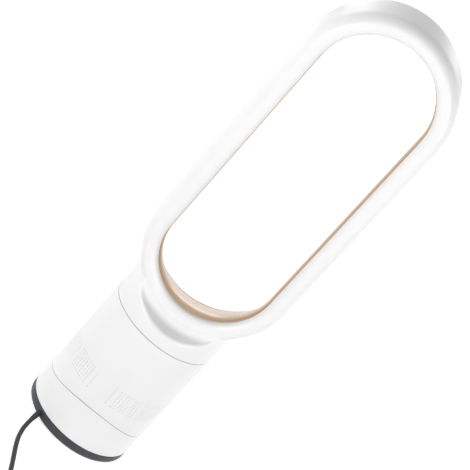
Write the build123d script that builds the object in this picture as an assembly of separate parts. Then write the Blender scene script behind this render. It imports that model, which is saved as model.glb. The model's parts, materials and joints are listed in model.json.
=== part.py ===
"""A bladeless fan: grey foot, turning base, tilting body with a rotor inside, and a tall oval loop.

Millimetres. The origin is at the middle of the underside, +Z is up, and air blows towards -Y.
"""
from build123d import *
from math import acos, atan2, cos, hypot, pi, radians, sin, sqrt, tan
import os

# ---- driving sizes -------------------------------------------------------------------------------
BODY_RADIUS = 75.0            # outside of the foot, base and body
WALL = 2.5                    # moulded walls
SEAM = 0.6                    # open line between shells that move on each other
FIT = 0.2                     # gap between pieces that are screwed or pushed together
RUN = 0.3                     # gap between flat faces that turn on each other
SHAFT_FIT = 0.05              # radial gap of a shaft in its bearing

# foot
FEET_HEIGHT = 1.2
FEET_RADIUS = 7.0
FEET_INSET = 15.0             # pads' centres, in from the outside
FEET_COUNT = 5
FOOT_TOP = 15.0
FOOT_TOE_INSET = 4.0          # how far the foot's lowest edge is drawn in
FOOT_TOE_HEIGHT = 5.0         # height at which it reaches full radius
PIVOT_RADIUS = 14.0
PIVOT_BORE = 10.0
SLIDE_INSET = 15.0            # middle of the slippery ring, in from the outside
SLIDE_WIDTH = 5.0
SLIDE_HEIGHT = 2.5
RIB_WIDTH = 3.0
RETAINER_RADIUS = 16.5
RETAINER_THICKNESS = 2.0

# swing gears
GEAR_MODULE = 1.0
GEAR_RATIO = 5
ADDENDUM = 0.85
DEDENDUM = 1.25
FLANK_RELIEF = 0.15           # taken off each tooth's thickness
PRESSURE_ANGLE = 20.0
GEAR_PAD = 2.3                # height of the pad under the fixed gear
GEAR_WIDTH = 6.0
GEAR_BODY = 13.5              # width of the fixed gear's body inside its pitch circle
GEAR_SCREW_INSET = 7.5        # its screws, inside the pitch circle
PAD_WIDTH = 8.0
PINION_SHAFT_RADIUS = 2.5
MOTOR_RADIUS = 19.5
MOTOR_HEIGHT = 19.0
EAR_PLACE = 24.0
EAR_RADIUS = 4.0

# turning base
BASE_FLOOR = 2.5
BOSS_RADIUS = 5.0
BOSS_INSET = 6.5
BOSS_HEIGHT = 15.0
POST_INSET = 23.0
POST_Y = 20.0
CRADLE_WALL = 3.0

# saddle on which the body tilts about an axis along X
SADDLE_LOW = 50.0             # height of the seam at the two sides
TILT_RADIUS = 157.5
TILT_TRAVEL = 10.0            # degrees each way
NECK_RADIUS = 8.0
NECK_GAP = 1.2
WASHER_X = 40.0
WASHER_Y = 50.0
WASHER_THICKNESS = 2.0
BOLT_RADIUS = 2.5
BOLT_HEAD_RADIUS = 5.0
BOLT_HEAD_HEIGHT = 3.5

# controls on the front
BUTTON_RADIUS = 4.2
BUTTON_GAP = 0.3
BUTTON_SPACING = 14.0
BUTTON_HEIGHT = 36.0
BUTTON_TRAVEL = 1.0
BUTTON_FLANGE = 5.6
BUTTON_CLEAR = 0.2            # left between a pressed button and its switch
BUTTON_RECESS = 0.1
BOARD_INSET = 15.0            # front of the board, in from the outside
BOARD_THICKNESS = 1.6
BOARD_WIDTH = 64.0
BOARD_LOW = 24.0
BOARD_CLEAR = 1.7             # left under the cradle above the board
POWER_INSET = 29.0            # power board, in from the outside at -X
SWITCH_SIZE = 6.0
SWITCH_DEPTH = 3.0
DISPLAY_WIDTH = 26.0
DISPLAY_HEIGHT = 9.0
DISPLAY_PLACE = 53.0

# body
BODY_TOP = 194.2              # middle of the seam under the loop
NECK_SEAM = 0.8
HOLE_RADIUS = 0.8
HOLE_LOW = 88.5
HOLE_ROWS = 7
HOLE_PITCH = 4.3
HOLE_COLUMNS = 8
COLUMN_TURN = 3.4             # degrees between columns
FIELDS = 12
FIELD_AXIS = 81.0             # direction of the blank field, degrees from +X
FRAME_WALL = 2.0
FRAME_BORDER = 5.5
LEDGE_WIDTH = 11.0
LEDGE_DROP = 45.7             # lower ledge, below that seam
NECK_LEDGE_WIDTH = 6.5
NECK_LEDGE_DROP = 14.7        # upper ledge, below the seam under the loop
DUCT_GAP = 6.5                # between the shroud's inside and the foam or the flange
FOAM_TOP = 72.0

# air duct and motor
HOUSING_WALL = 2.0
MOUTH_FLARE = 9.0             # mouth wider than the throat
MOUTH_HEIGHT = 8.0
CONE_FLARE = 13.0             # exit wider than the throat
CONE_HEIGHT = 31.0
FLANGE_WIDTH = 10.0
EXIT_HEIGHT = 19.0            # straight part above the cone
MOUNT_HEIGHT = 1.5
MOUNT_RADIUS = 2.0
MOUNT_COUNT = 6
DIFFUSER_HEIGHT = 8.0
VANES = 9
VANE_THICKNESS = 1.8
BUCKET_RADIUS = 33.0
BUCKET_CROWN = 26.0           # motor housing above the diffuser
BUCKET_WALL = 2.0
CAN_RADIUS = 27.0
CAN_HEIGHT = 36.5
BEARING_RADIUS = 8.0
BEARING_THICKNESS = 4.0
SHAFT_RADIUS = 3.0
DRUM_RADIUS = 12.0
DRUM_HEIGHT = 22.0
BLADES = 9
BLADE_THICKNESS = 1.6
IMPELLER_HEIGHT = 28.0
TIP_GAP = 1.0

# loop
LOOP_RISE = 20.0              # lowest point of the loop, above the seam under it
LOOP_STRAIGHT = 283.3         # from there to the centre of the upper bend
LOOP_RADIUS = 102.0
LOOP_FRONT = -40.0
LOOP_REAR = 46.0
RIM_RADIUS = 5.0              # rounding of the front edge
BULGE_WIDTH = 12.0            # rear bulge, outer side
BULGE_DEPTH = 24.0
LIP_INSET = 24.4              # opening at the rear lip, in from the loop's outside
LIP_DEPTH = 8.0
LIP_REACH = 3.0               # straight part of the lip
LIP_WALL = 1.8
BAND_INSET = 8.0              # opening at the front, in from the loop's outside
NOSE_PROUD = 2.3              # the band's nose, in from the lip
NOSE_AHEAD = 9.0              # and ahead of the lip's end
NOSE_WIDTH = 10.0
NOSE_DEPTH = 10.5
BAND_WALL = 2.0
BLEND_TURN = 81.5             # where the collar's fillet leaves the bulge, degrees round it
FRONT_BLEND = 8.0
FRONT_FALL = 9.0              # the collar's front shelf falls this far towards its edge
PASSAGE_X = 45.0
PASSAGE_Y = 24.0
SPACER_TURNS = 8

# mains lead
CORD_RADIUS = 3.0
CORD_TURN = 9.5               # direction in which it leaves, degrees from +Y towards +X
CORD_EXIT_X = 48.0
CORD_EXIT_Z = 7.5
GLAND_LENGTH = 22.0
GLAND_RADIUS = 3.8
GLAND_END_RADIUS = 3.3
GLAND_INSIDE = 6.0
GLAND_FLANGE_RADIUS = 4.8
COIL_X = -8.0
COIL_Y = 285.0
COIL_TURN_RADIUS = 34.0
COIL_WIDTH = 24.0
COIL_HEIGHT = 11.2
LEAD_ROUTE = [
    (53.6, 93.0, 6.2), (54.6, 110.0, 3.4), (53.4, 130.0, 3.0), (49.6, 152.0, 3.0), (44.0, 177.0, 3.0),
    (39.0, 204.0, 3.0), (35.8, 230.0, 3.0), (34.9, 252.0, 3.0), (35.1, 273.0, 3.0)]
TAIL_ROUTE = [(-48.0, 270.0, 8.2), (-48.6, 257.0, 7.8), (-50.4, 244.0, 7.1), (-51.6, 231.0, 7.0)]
PLUG_LENGTH = 36.0
PLUG_WIDTH = 24.0
PLUG_HEIGHT = 13.0
PLUG_NOSE = 10.0
PIN_LENGTH = 17.0
PIN_WIDTH = 6.3
PIN_THICKNESS = 1.5
PIN_SPACING = 12.7

# ---- sizes worked out from them ------------------------------------------------------------------
INNER_RADIUS = BODY_RADIUS - WALL
SEATED_RADIUS = INNER_RADIUS - FIT
FEET_PLACE = BODY_RADIUS - FEET_INSET
FOOT_TOE_RADIUS = BODY_RADIUS - FOOT_TOE_INSET
SLIDE_RADIUS = BODY_RADIUS - SLIDE_INSET
BOSS_PLACE = BODY_RADIUS - BOSS_INSET
POST_X = BODY_RADIUS - POST_INSET
POWER_X = POWER_INSET - BODY_RADIUS
BOARD_FACE = BODY_RADIUS - BOARD_INSET
BUTTON_BACK = BOARD_FACE + SWITCH_DEPTH + BUTTON_TRAVEL + BUTTON_CLEAR
TILT_Z = SADDLE_LOW + TILT_RADIUS
SHOE_RADIUS = TILT_RADIUS - SEAM / 2
CRADLE_RADIUS = TILT_RADIUS + SEAM / 2
CRADLE_UNDER = CRADLE_RADIUS + CRADLE_WALL
BOARD_HIGH = TILT_Z - sqrt(CRADLE_UNDER ** 2 - (BOARD_FACE - BOARD_THICKNESS) ** 2) - BOARD_CLEAR
FOOT_FLOOR = FEET_HEIGHT + WALL
BASE_LOW = FOOT_TOP + SEAM
ROTOR_LOW = BASE_LOW + SEAM
ROTOR_TOP = ROTOR_LOW + BASE_FLOOR
SLIDE_TOP = ROTOR_LOW - RUN
RIB_TOP = SLIDE_TOP - SLIDE_HEIGHT
RETAINER_LOW = ROTOR_TOP + RUN
GEAR_LOW = FOOT_FLOOR + GEAR_PAD
GEAR_TOP = GEAR_LOW + GEAR_WIDTH
PINION_TEETH = int(BODY_RADIUS / GEAR_MODULE / GEAR_RATIO)
FIXED_TEETH = GEAR_RATIO * PINION_TEETH
GEAR_CENTRES = GEAR_MODULE * (FIXED_TEETH + PINION_TEETH) / 2
GEAR_BORE = GEAR_MODULE * FIXED_TEETH / 2 - GEAR_BODY
GEAR_SCREW_PLACE = GEAR_MODULE * FIXED_TEETH / 2 - GEAR_SCREW_INSET
SHROUD_TOP = BODY_TOP - NECK_SEAM / 2
COLLAR_LOW = BODY_TOP + NECK_SEAM / 2
LEDGE_HIGH = BODY_TOP - LEDGE_DROP
NECK_LEDGE_HIGH = BODY_TOP - NECK_LEDGE_DROP
FLANGE_LOW = LEDGE_HIGH + MOUNT_HEIGHT
FOAM_RADIUS = INNER_RADIUS - DUCT_GAP
FLANGE_RADIUS = INNER_RADIUS - DUCT_GAP
EXIT_RADIUS = FLANGE_RADIUS - FLANGE_WIDTH
THROAT_RADIUS = EXIT_RADIUS - CONE_FLARE
MOUTH_RADIUS = THROAT_RADIUS + MOUTH_FLARE
EXIT_HIGH = FLANGE_LOW - EXIT_HEIGHT
THROAT_HIGH = EXIT_HIGH - CONE_HEIGHT
MOUTH_LOW = THROAT_HIGH - MOUTH_HEIGHT
BUCKET_LOW = EXIT_HIGH
BUCKET_TOP = FLANGE_LOW + DIFFUSER_HEIGHT + BUCKET_CROWN
STEP_RADIUS = EXIT_RADIUS + HOUSING_WALL + FIT
BUCKET_SPLIT = FLANGE_LOW
CAN_LOW = BUCKET_LOW + BUCKET_WALL
CAN_TOP = CAN_LOW + CAN_HEIGHT
BEARING_LOW = CAN_LOW + 2.0
BEARING_HIGH = CAN_TOP - 2.0 - BEARING_THICKNESS
DRUM_LOW = (BEARING_LOW + BEARING_HIGH + BEARING_THICKNESS - DRUM_HEIGHT) / 2
IMPELLER_TOP = BUCKET_LOW - 3.0
IMPELLER_LOW = IMPELLER_TOP - IMPELLER_HEIGHT
LOOP_LOW_Z = BODY_TOP + LOOP_RISE + LOOP_RADIUS   # centre of the lower bend
LOOP_HIGH_Z = LOOP_LOW_Z + LOOP_STRAIGHT
BULGE_RADIUS = LOOP_RADIUS - BULGE_WIDTH
BULGE_PLACE = LOOP_REAR - BULGE_DEPTH
LIP_PLACE = LOOP_REAR - LIP_DEPTH
LIP_RADIUS = LOOP_RADIUS - LIP_INSET
LIP_END = LIP_PLACE - LIP_REACH
BAND_FRONT = LOOP_RADIUS - BAND_INSET
BAND_NOSE = LIP_RADIUS - NOSE_PROUD
NOSE_PLACE = LIP_END - NOSE_AHEAD
BAND_END = LOOP_FRONT + WALL + RUN
COLLAR_LEDGE = LOOP_LOW_Z - LOOP_RADIUS - FRONT_FALL - WALL - 0.5
FAR = 4 * BODY_RADIUS         # longer than anything that it cuts


# ---- plain shapes --------------------------------------------------------------------------------
def rod(radius, low, high, x=0.0, y=0.0):
    """An upright cylinder between two heights."""
    upright = Cylinder(radius, high - low, align=(Align.CENTER, Align.CENTER, Align.MIN))
    return Pos(x, y, low) * upright


def ring(outer, inner, low, high):
    """A flat ring about the upright axis."""
    return rod(outer, low, high) - rod(inner, low - 1, high + 1)


def block(x, y, z):
    """A box given by its (low, high) along each axis."""
    middle = Pos((x[0] + x[1]) / 2, (y[0] + y[1]) / 2, (z[0] + z[1]) / 2)
    return middle * Box(x[1] - x[0], y[1] - y[0], z[1] - z[0])


def spun(points):
    """The solid that an outline of (radius, height) points sweeps about the upright axis."""
    outline = [(radius, 0, height) for radius, height in points]
    return revolve(make_face(Polyline(*outline, close=True)), Axis.Z)


def around(count, place, start=0.0):
    """Points evenly spaced on a circle about the upright axis."""
    turns = [radians(start + 360 * k / count) for k in range(count)]
    return [(place * cos(turn), place * sin(turn)) for turn in turns]


def tilt_drum(radius):
    """A cylinder along X about the tilt axis."""
    return Pos(0, 0, TILT_Z) * Rot(0, 90, 0) * Cylinder(radius, FAR)


def loop_drum(radius):
    """A cylinder along Y about the centre of the loop's lower bend."""
    return Pos(0, 0, LOOP_LOW_Z) * Rot(90, 0, 0) * Cylinder(radius, FAR)


def screw(radius, head_radius, low, seat, top, x, y):
    """A screw from its tip or lowest point to its head, head on top."""
    return rod(radius, low, seat, x, y) + rod(head_radius, seat, top, x, y)


def tooth_points(teeth, middle):
    """One tooth's outline, root to root, from the involute of the base circle."""
    pitch = GEAR_MODULE * teeth / 2
    base = pitch * cos(radians(PRESSURE_ANGLE))
    tip = pitch + ADDENDUM * GEAR_MODULE
    root = pitch - DEDENDUM * GEAR_MODULE
    start = max(base, root)
    half = (pi * GEAR_MODULE / 2 - FLANK_RELIEF) / 2 / pitch
    roll = tan(radians(PRESSURE_ANGLE)) - radians(PRESSURE_ANGLE)
    flank = []
    for step in range(4):
        radius = start + (tip - start) * step / 3
        angle = acos(min(1.0, base / radius))
        flank.append((radius, half + roll - (tan(angle) - angle)))
    if start > root:
        flank.insert(0, (root, flank[0][1]))
    left = [(radius, middle - turn) for radius, turn in flank]
    right = [(radius, middle + turn) for radius, turn in reversed(flank)]
    return [(radius * cos(turn), radius * sin(turn)) for radius, turn in left + right]


def gear(teeth, low, high):
    """A spur gear about the upright axis, one tooth pointing along +X."""
    outline = []
    for tooth in range(teeth):
        outline += tooth_points(teeth, 2 * pi * tooth / teeth)
    return Pos(0, 0, low) * extrude(make_face(Polyline(*outline, close=True)), high - low)


def loop_solid(section):
    """The solid that a (half width, depth) section sweeps once round the oval loop."""
    low_axis = Axis((0, 0, LOOP_LOW_Z), (0, 1, 0))
    high_axis = Axis((0, 0, LOOP_HIGH_Z), (0, -1, 0))
    lower = revolve(Pos(0, 0, LOOP_LOW_Z) * section, low_axis, 180)
    upper = revolve(Pos(0, 0, LOOP_HIGH_Z) * section, high_axis, 180)
    side = extrude(Pos(0, 0, LOOP_LOW_Z) * section, LOOP_STRAIGHT)
    return lower + upper + side + mirror(side, Plane.YZ)


# ---- foot ----------------------------------------------------------------------------------------
def gland_place():
    """Where the lead crosses the foot's outside, and the frame that points along it."""
    exit_y = sqrt(BODY_RADIUS ** 2 - CORD_EXIT_X ** 2)
    return Pos(CORD_EXIT_X, exit_y, CORD_EXIT_Z) * Rot(0, 0, -CORD_TURN) * Rot(-90, 0, 0)


def lead_start():
    """Where the lead begins, just clear of the strain relief's outer end."""
    exit_y = sqrt(BODY_RADIUS ** 2 - CORD_EXIT_X ** 2)
    turn = radians(CORD_TURN)
    reach = GLAND_LENGTH + FIT
    return (CORD_EXIT_X + reach * sin(turn), exit_y + reach * cos(turn), CORD_EXIT_Z)


def foot_dish():
    outside = spun([
        (0, FEET_HEIGHT), (FOOT_TOE_RADIUS, FEET_HEIGHT), (BODY_RADIUS, FOOT_TOE_HEIGHT),
        (BODY_RADIUS, FOOT_TOP), (0, FOOT_TOP)])
    dish = outside - rod(INNER_RADIUS, FOOT_FLOOR, FOOT_TOP + 1)
    dish += ring(SLIDE_RADIUS + RIB_WIDTH / 2, SLIDE_RADIUS - RIB_WIDTH / 2, FOOT_FLOOR, RIB_TOP)
    dish += ring(GEAR_BORE + PAD_WIDTH, GEAR_BORE, FOOT_FLOOR, GEAR_LOW)
    dish += rod(PIVOT_RADIUS, FOOT_FLOOR, RETAINER_LOW)
    dish -= rod(PIVOT_BORE, FOOT_FLOOR, RETAINER_LOW + 1)
    for x, y in around(3, GEAR_SCREW_PLACE, 30):
        dish -= rod(1.5, FOOT_FLOOR - 1, GEAR_LOW + 1, x, y)
    for x, y in around(3, (PIVOT_RADIUS + PIVOT_BORE) / 2, 90):
        dish -= rod(1.0, RETAINER_LOW - 8, RETAINER_LOW + 1, x, y)
    dish -= gland_place() * Cylinder(GLAND_RADIUS + FIT, 2 * (GLAND_INSIDE + WALL))
    slot = Cylinder(GLAND_FLANGE_RADIUS + FIT, WALL + 2 * FIT)
    return dish - gland_place() * Pos(0, 0, -GLAND_INSIDE - WALL / 2) * slot


def rubber_feet():
    return [rod(FEET_RADIUS, 0, FEET_HEIGHT, x, y) for x, y in around(FEET_COUNT, FEET_PLACE, 90)]


def slide_ring():
    half = SLIDE_WIDTH / 2
    return ring(SLIDE_RADIUS + half, SLIDE_RADIUS - half, RIB_TOP, SLIDE_TOP)


def fixed_gear():
    body = Rot(0, 0, 90) * gear(FIXED_TEETH, GEAR_LOW, GEAR_TOP) - rod(GEAR_BORE, 0, FOOT_TOP)
    for x, y in around(3, GEAR_SCREW_PLACE, 30):
        body -= rod(1.5, 0, FOOT_TOP, x, y)
    return body


def gear_screws():
    return [screw(1.5, 2.8, FOOT_FLOOR - 0.5, GEAR_TOP, GEAR_TOP + 1.6, x, y)
            for x, y in around(3, GEAR_SCREW_PLACE, 30)]


def pivot_retainer():
    top = RETAINER_LOW + RETAINER_THICKNESS
    body = ring(RETAINER_RADIUS, PIVOT_BORE, RETAINER_LOW, top)
    for x, y in around(3, (PIVOT_RADIUS + PIVOT_BORE) / 2, 90):
        body -= rod(1.0, RETAINER_LOW - 1, top + 1, x, y)
    return body


def retainer_screws():
    seat = RETAINER_LOW + RETAINER_THICKNESS
    return [screw(1.0, 1.9, RETAINER_LOW - 7, seat, seat + 1.2, x, y)
            for x, y in around(3, (PIVOT_RADIUS + PIVOT_BORE) / 2, 90)]


def cord_gland():
    """Strain relief along its own +Z: a flange inside the wall and a tapered sleeve outside."""
    upright = (Align.CENTER, Align.CENTER, Align.MIN)
    stem = Pos(0, 0, -GLAND_INSIDE) * Cylinder(GLAND_RADIUS, GLAND_INSIDE, align=upright)
    sleeve = Cone(GLAND_RADIUS, GLAND_END_RADIUS, GLAND_LENGTH, align=upright)
    flange = Pos(0, 0, -GLAND_INSIDE - WALL) * Cylinder(GLAND_FLANGE_RADIUS, WALL, align=upright)
    return gland_place() * (stem + sleeve + flange)


# ---- mains lead ----------------------------------------------------------------------------------
def tube(name, route):
    """A round tube along straight runs joined by arcs as large as the runs allow."""
    points = [Vector(*point) for point in route]
    radii = []
    for before, corner, after in zip(points, points[1:], points[2:]):
        turn = radians((corner - before).get_angle(after - corner))
        shorter = min((corner - before).length, (after - corner).length)
        radii.append(0.45 * shorter / tan(turn / 2))
    path = FilletPolyline(*points, radius=radii)
    section = Plane(origin=points[0], z_dir=points[1] - points[0]) * Circle(CORD_RADIUS)
    body = sweep(section, path=path)
    share = body.volume / (pi * CORD_RADIUS ** 2 * path.length)
    print(name, "length", round(path.length, 1), "volume share", round(share, 4),
          "radii", [round(radius) for radius in radii])
    return body


def cord_coil():
    half = COIL_WIDTH / 2
    turns = ring(COIL_TURN_RADIUS + half, COIL_TURN_RADIUS - half, 0, COIL_HEIGHT)
    return Pos(COIL_X, COIL_Y, 0) * turns


def plug_pieces():
    """The plug's body along -Y from the end of the lead, and its two flat pins."""
    x, y, z = TAIL_ROUTE[-1]
    y -= FIT
    nose = Pos(x, y, z) * Rot(90, 0, 0) * Cone(
        CORD_RADIUS + 1, PLUG_HEIGHT / 2 - 0.5, PLUG_NOSE, align=(Align.CENTER, Align.CENTER, Align.MIN))
    grip_high = y - PLUG_NOSE
    grip_low = y - PLUG_LENGTH
    half = PLUG_WIDTH / 2
    grip = block((x - half, x + half), (grip_low, grip_high), (z - PLUG_HEIGHT / 2, z + PLUG_HEIGHT / 2))
    grip = fillet(grip.edges().filter_by(Axis.Y), PLUG_HEIGHT / 3)
    pins = []
    for side in (-PIN_SPACING / 2, PIN_SPACING / 2):
        middle = x + side
        pins.append(block((middle - PIN_THICKNESS / 2, middle + PIN_THICKNESS / 2),
                          (grip_low - PIN_LENGTH, grip_low), (z - PIN_WIDTH / 2, z + PIN_WIDTH / 2)))
    return nose + grip, pins


# ---- turning base --------------------------------------------------------------------------------
def button_places():
    """Across positions of the four push buttons, left to right seen from the front."""
    return [BUTTON_SPACING * (k - 1.5) for k in range(4)]


def front_rod(radius, x, z, near, far):
    """A cylinder along Y at the front, between two distances from the axis."""
    return Pos(x, -(near + far) / 2, z) * Rot(90, 0, 0) * Cylinder(radius, far - near)


def base_shell():
    shell = ring(BODY_RADIUS, INNER_RADIUS, BASE_LOW, TILT_Z / 2)
    for x, y in around(4, BOSS_PLACE, 45):
        boss = rod(BOSS_RADIUS, ROTOR_TOP, ROTOR_TOP + BOSS_HEIGHT, x, y) & rod(BODY_RADIUS - 1, 0, TILT_Z)
        shell += boss - rod(1.5, ROTOR_TOP - 1, ROTOR_TOP + BOSS_HEIGHT - 3, x, y)
    for x in button_places():
        shell -= front_rod(BUTTON_RADIUS + BUTTON_GAP, x, BUTTON_HEIGHT, BOARD_FACE, BODY_RADIUS + 1)
    shell -= display_hole(FIT)
    return shell - tilt_drum(CRADLE_RADIUS)


def display_hole(gap):
    half_x = DISPLAY_WIDTH / 2 + gap
    half_z = DISPLAY_HEIGHT / 2 + gap
    return block((-half_x, half_x), (-BODY_RADIUS - 1, -BOARD_FACE),
                 (DISPLAY_PLACE - half_z, DISPLAY_PLACE + half_z))


def display_window():
    return ring(BODY_RADIUS - BUTTON_RECESS, INNER_RADIUS, BASE_LOW, TILT_Z / 2) & display_hole(0)


def rotor_plate():
    plate = ring(SEATED_RADIUS, PIVOT_RADIUS + RUN, ROTOR_LOW, ROTOR_TOP)
    plate -= rod(PINION_SHAFT_RADIUS + 2, 0, TILT_Z, 0, GEAR_CENTRES)
    for x in (-EAR_PLACE, EAR_PLACE):
        plate -= rod(1.5, 0, TILT_Z, x, GEAR_CENTRES)
    for x, y in around(4, BOSS_PLACE, 45):
        plate -= rod(1.5, 0, TILT_Z, x, y)
    for x, y in cradle_posts():
        plate += rod(BOSS_RADIUS, ROTOR_TOP, SADDLE_LOW, x, y) - tilt_drum(CRADLE_UNDER)
        plate -= rod(1.2, SADDLE_LOW - 14, SADDLE_LOW, x, y)
    back = BOARD_FACE - BOARD_THICKNESS
    for x in (-BOARD_WIDTH / 2 + 4, BOARD_WIDTH / 2 - 4):
        plate += block((x - 3, x + 3), (-back, -back + 4), (ROTOR_TOP, BOARD_HIGH - 12))
    return plate


def base_screws():
    return [rod(1.5, ROTOR_LOW, ROTOR_TOP + 9, x, y) + rod(2.8, ROTOR_LOW - 1.6, ROTOR_LOW, x, y)
            for x, y in around(4, BOSS_PLACE, 45)]


def cradle_posts():
    return [(x, y) for x in (-POST_X, POST_X) for y in (-POST_Y, POST_Y)]


def cradle_plate():
    plate = rod(SEATED_RADIUS, ROTOR_TOP, TILT_Z / 2) & (tilt_drum(CRADLE_UNDER) - tilt_drum(CRADLE_RADIUS))
    reach = CRADLE_UNDER * sin(radians(TILT_TRAVEL)) + NECK_RADIUS + NECK_GAP
    across = NECK_RADIUS + NECK_GAP
    plate -= block((-across, across), (-reach, reach), (0, TILT_Z))
    for x, y in cradle_posts():
        plate -= rod(1.2, 0, TILT_Z, x, y) + rod(2.6, cradle_seat(), TILT_Z, x, y)
    return plate


def cradle_seat():
    """Height of the cradle screws' seats, sunk below the sliding face."""
    return TILT_Z - sqrt(CRADLE_RADIUS ** 2 - (POST_Y - 2.6) ** 2) - 1.6


def cradle_screws():
    seat = cradle_seat()
    return [screw(1.2, 2.4, seat - 12, seat, seat + 1.2, x, y) for x, y in cradle_posts()]


def swing_motor():
    y = GEAR_CENTRES
    body = rod(MOTOR_RADIUS, ROTOR_TOP, ROTOR_TOP + MOTOR_HEIGHT, 0, y)
    body += block((-EAR_PLACE, EAR_PLACE), (y - EAR_RADIUS, y + EAR_RADIUS), (ROTOR_TOP, ROTOR_TOP + WALL))
    for x in (-EAR_PLACE, EAR_PLACE):
        body += rod(EAR_RADIUS, ROTOR_TOP, ROTOR_TOP + WALL, x, y)
        body -= rod(1.5, 0, TILT_Z, x, y)
    return body - rod(PINION_SHAFT_RADIUS + SHAFT_FIT, 0, ROTOR_TOP + MOTOR_HEIGHT - 4, 0, y)


def motor_screws():
    seat = ROTOR_TOP + WALL
    return [screw(1.5, 2.8, ROTOR_LOW, seat, seat + 1.6, x, GEAR_CENTRES) for x in (-EAR_PLACE, EAR_PLACE)]


def swing_pinion():
    body = gear(PINION_TEETH, GEAR_LOW, GEAR_TOP)
    body = Rot(0, 0, 90) * body + rod(PINION_SHAFT_RADIUS, GEAR_TOP, ROTOR_TOP + MOTOR_HEIGHT - 5)
    return Pos(0, GEAR_CENTRES, 0) * body


def control_board():
    half = BOARD_WIDTH / 2
    face = -BOARD_FACE
    board = block((-half, half), (face, face + BOARD_THICKNESS), (BOARD_LOW, BOARD_HIGH))
    for x in button_places():
        side = SWITCH_SIZE / 2
        board += block((x - side, x + side), (face - SWITCH_DEPTH, face),
                       (BUTTON_HEIGHT - side, BUTTON_HEIGHT + side))
    half = DISPLAY_WIDTH / 2 - 2
    return board + block((-half, half), (face - 7, face), (DISPLAY_PLACE - 4, DISPLAY_PLACE + 4))


def power_board():
    """The mains board on edge, with its transformer and capacitor."""
    face = POWER_X + BOARD_THICKNESS
    board = block((POWER_X, face), (-34, 8), (ROTOR_TOP, ROTOR_TOP + 20))
    board += block((face, face + 14.4), (-30, -12), (ROTOR_TOP + 2, ROTOR_TOP + 16))
    upright = (Align.CENTER, Align.CENTER, Align.MIN)
    return board + Pos(face, -2, ROTOR_TOP + 10) * Rot(0, 90, 0) * Cylinder(5, 14, align=upright)


def button(x):
    """A round push cap, its face following the base, with a flange that keeps it in."""
    stem = front_rod(BUTTON_RADIUS, x, BUTTON_HEIGHT, BUTTON_BACK, BODY_RADIUS + 1)
    stem &= rod(BODY_RADIUS - BUTTON_RECESS, 0, TILT_Z)
    return stem + front_rod(BUTTON_FLANGE, x, BUTTON_HEIGHT, BUTTON_BACK + 1, BUTTON_BACK + 3)


# ---- tilting body --------------------------------------------------------------------------------
def shoe_plate():
    shell = tilt_drum(SHOE_RADIUS) - tilt_drum(SHOE_RADIUS - WALL)
    plate = rod(SEATED_RADIUS, SADDLE_LOW - 10, TILT_Z / 2) & shell
    floor = TILT_Z - SHOE_RADIUS
    plate += rod(NECK_RADIUS, SADDLE_LOW - 10, floor + 12) & tilt_drum(CRADLE_UNDER + RUN)
    return plate - rod(BOLT_RADIUS, 0, floor + 10)


def tilt_washer():
    under = CRADLE_UNDER + RUN
    plate = block((-WASHER_X / 2, WASHER_X / 2), (-WASHER_Y / 2, WASHER_Y / 2), (ROTOR_TOP, SADDLE_LOW))
    plate &= tilt_drum(under + WASHER_THICKNESS) - tilt_drum(under)
    return plate - rod(BOLT_RADIUS, 0, TILT_Z)


def tilt_bolt():
    seat = TILT_Z - CRADLE_UNDER - RUN - WASHER_THICKNESS
    head = rod(BOLT_HEAD_RADIUS, seat - BOLT_HEAD_HEIGHT, seat)
    return head + rod(BOLT_RADIUS, seat, TILT_Z - SHOE_RADIUS + 8)


def field_columns(field):
    """Directions of one field's columns of holes; the blank field keeps only its two edges."""
    offsets = [COLUMN_TURN * (k - (HOLE_COLUMNS - 1) / 2) for k in range(HOLE_COLUMNS)]
    if field == 0:
        offsets = [offsets[0], offsets[-1]]
    return [FIELD_AXIS + 360 * field / FIELDS + offset for offset in offsets]


def inlet_shroud():
    shell = ring(BODY_RADIUS, INNER_RADIUS, SADDLE_LOW - 10, SHROUD_TOP) & tilt_drum(SHOE_RADIUS)
    shell += ring(INNER_RADIUS + 1, INNER_RADIUS - LEDGE_WIDTH, LEDGE_HIGH - WALL, LEDGE_HIGH)
    shell += ring(INNER_RADIUS + 1, INNER_RADIUS - NECK_LEDGE_WIDTH, NECK_LEDGE_HIGH - WALL, NECK_LEDGE_HIGH)
    upright = (Align.CENTER, Align.CENTER, Align.MIN)
    holes = []
    for field in range(FIELDS):
        for turn in field_columns(field):
            for row in range(HOLE_ROWS):
                place = Rot(0, 0, turn) * Pos(INNER_RADIUS - 1, 0, HOLE_LOW + HOLE_PITCH * row)
                holes.append(place * Rot(0, 90, 0) * Cylinder(HOLE_RADIUS, WALL + 2, align=upright))
    return shell - holes


def window_frame():
    """A ring behind the holes, open at each field."""
    high = HOLE_LOW + HOLE_PITCH * (HOLE_ROWS - 1)
    frame = ring(SEATED_RADIUS, SEATED_RADIUS - FRAME_WALL, HOLE_LOW - FRAME_BORDER, high + FRAME_BORDER)
    cuts = []
    for field in range(FIELDS):
        columns = field_columns(field)
        spans = [(columns[0], columns[-1])] if field else [(turn, turn) for turn in columns]
        for start, end in spans:
            half = INNER_RADIUS * sin(radians((end - start) / 2)) + 1.5 * HOLE_RADIUS
            cut = block((INNER_RADIUS - 14, INNER_RADIUS + 3), (-half, half),
                        (HOLE_LOW - 1.5 * HOLE_RADIUS, high + 1.5 * HOLE_RADIUS))
            cuts.append(Rot(0, 0, (start + end) / 2) * cut)
    return frame - cuts


def silencing_foam():
    foam = rod(FOAM_RADIUS, SADDLE_LOW, FOAM_TOP) & tilt_drum(SHOE_RADIUS - WALL)
    return foam - rod(NECK_RADIUS + FIT, 0, TILT_Z)


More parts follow.
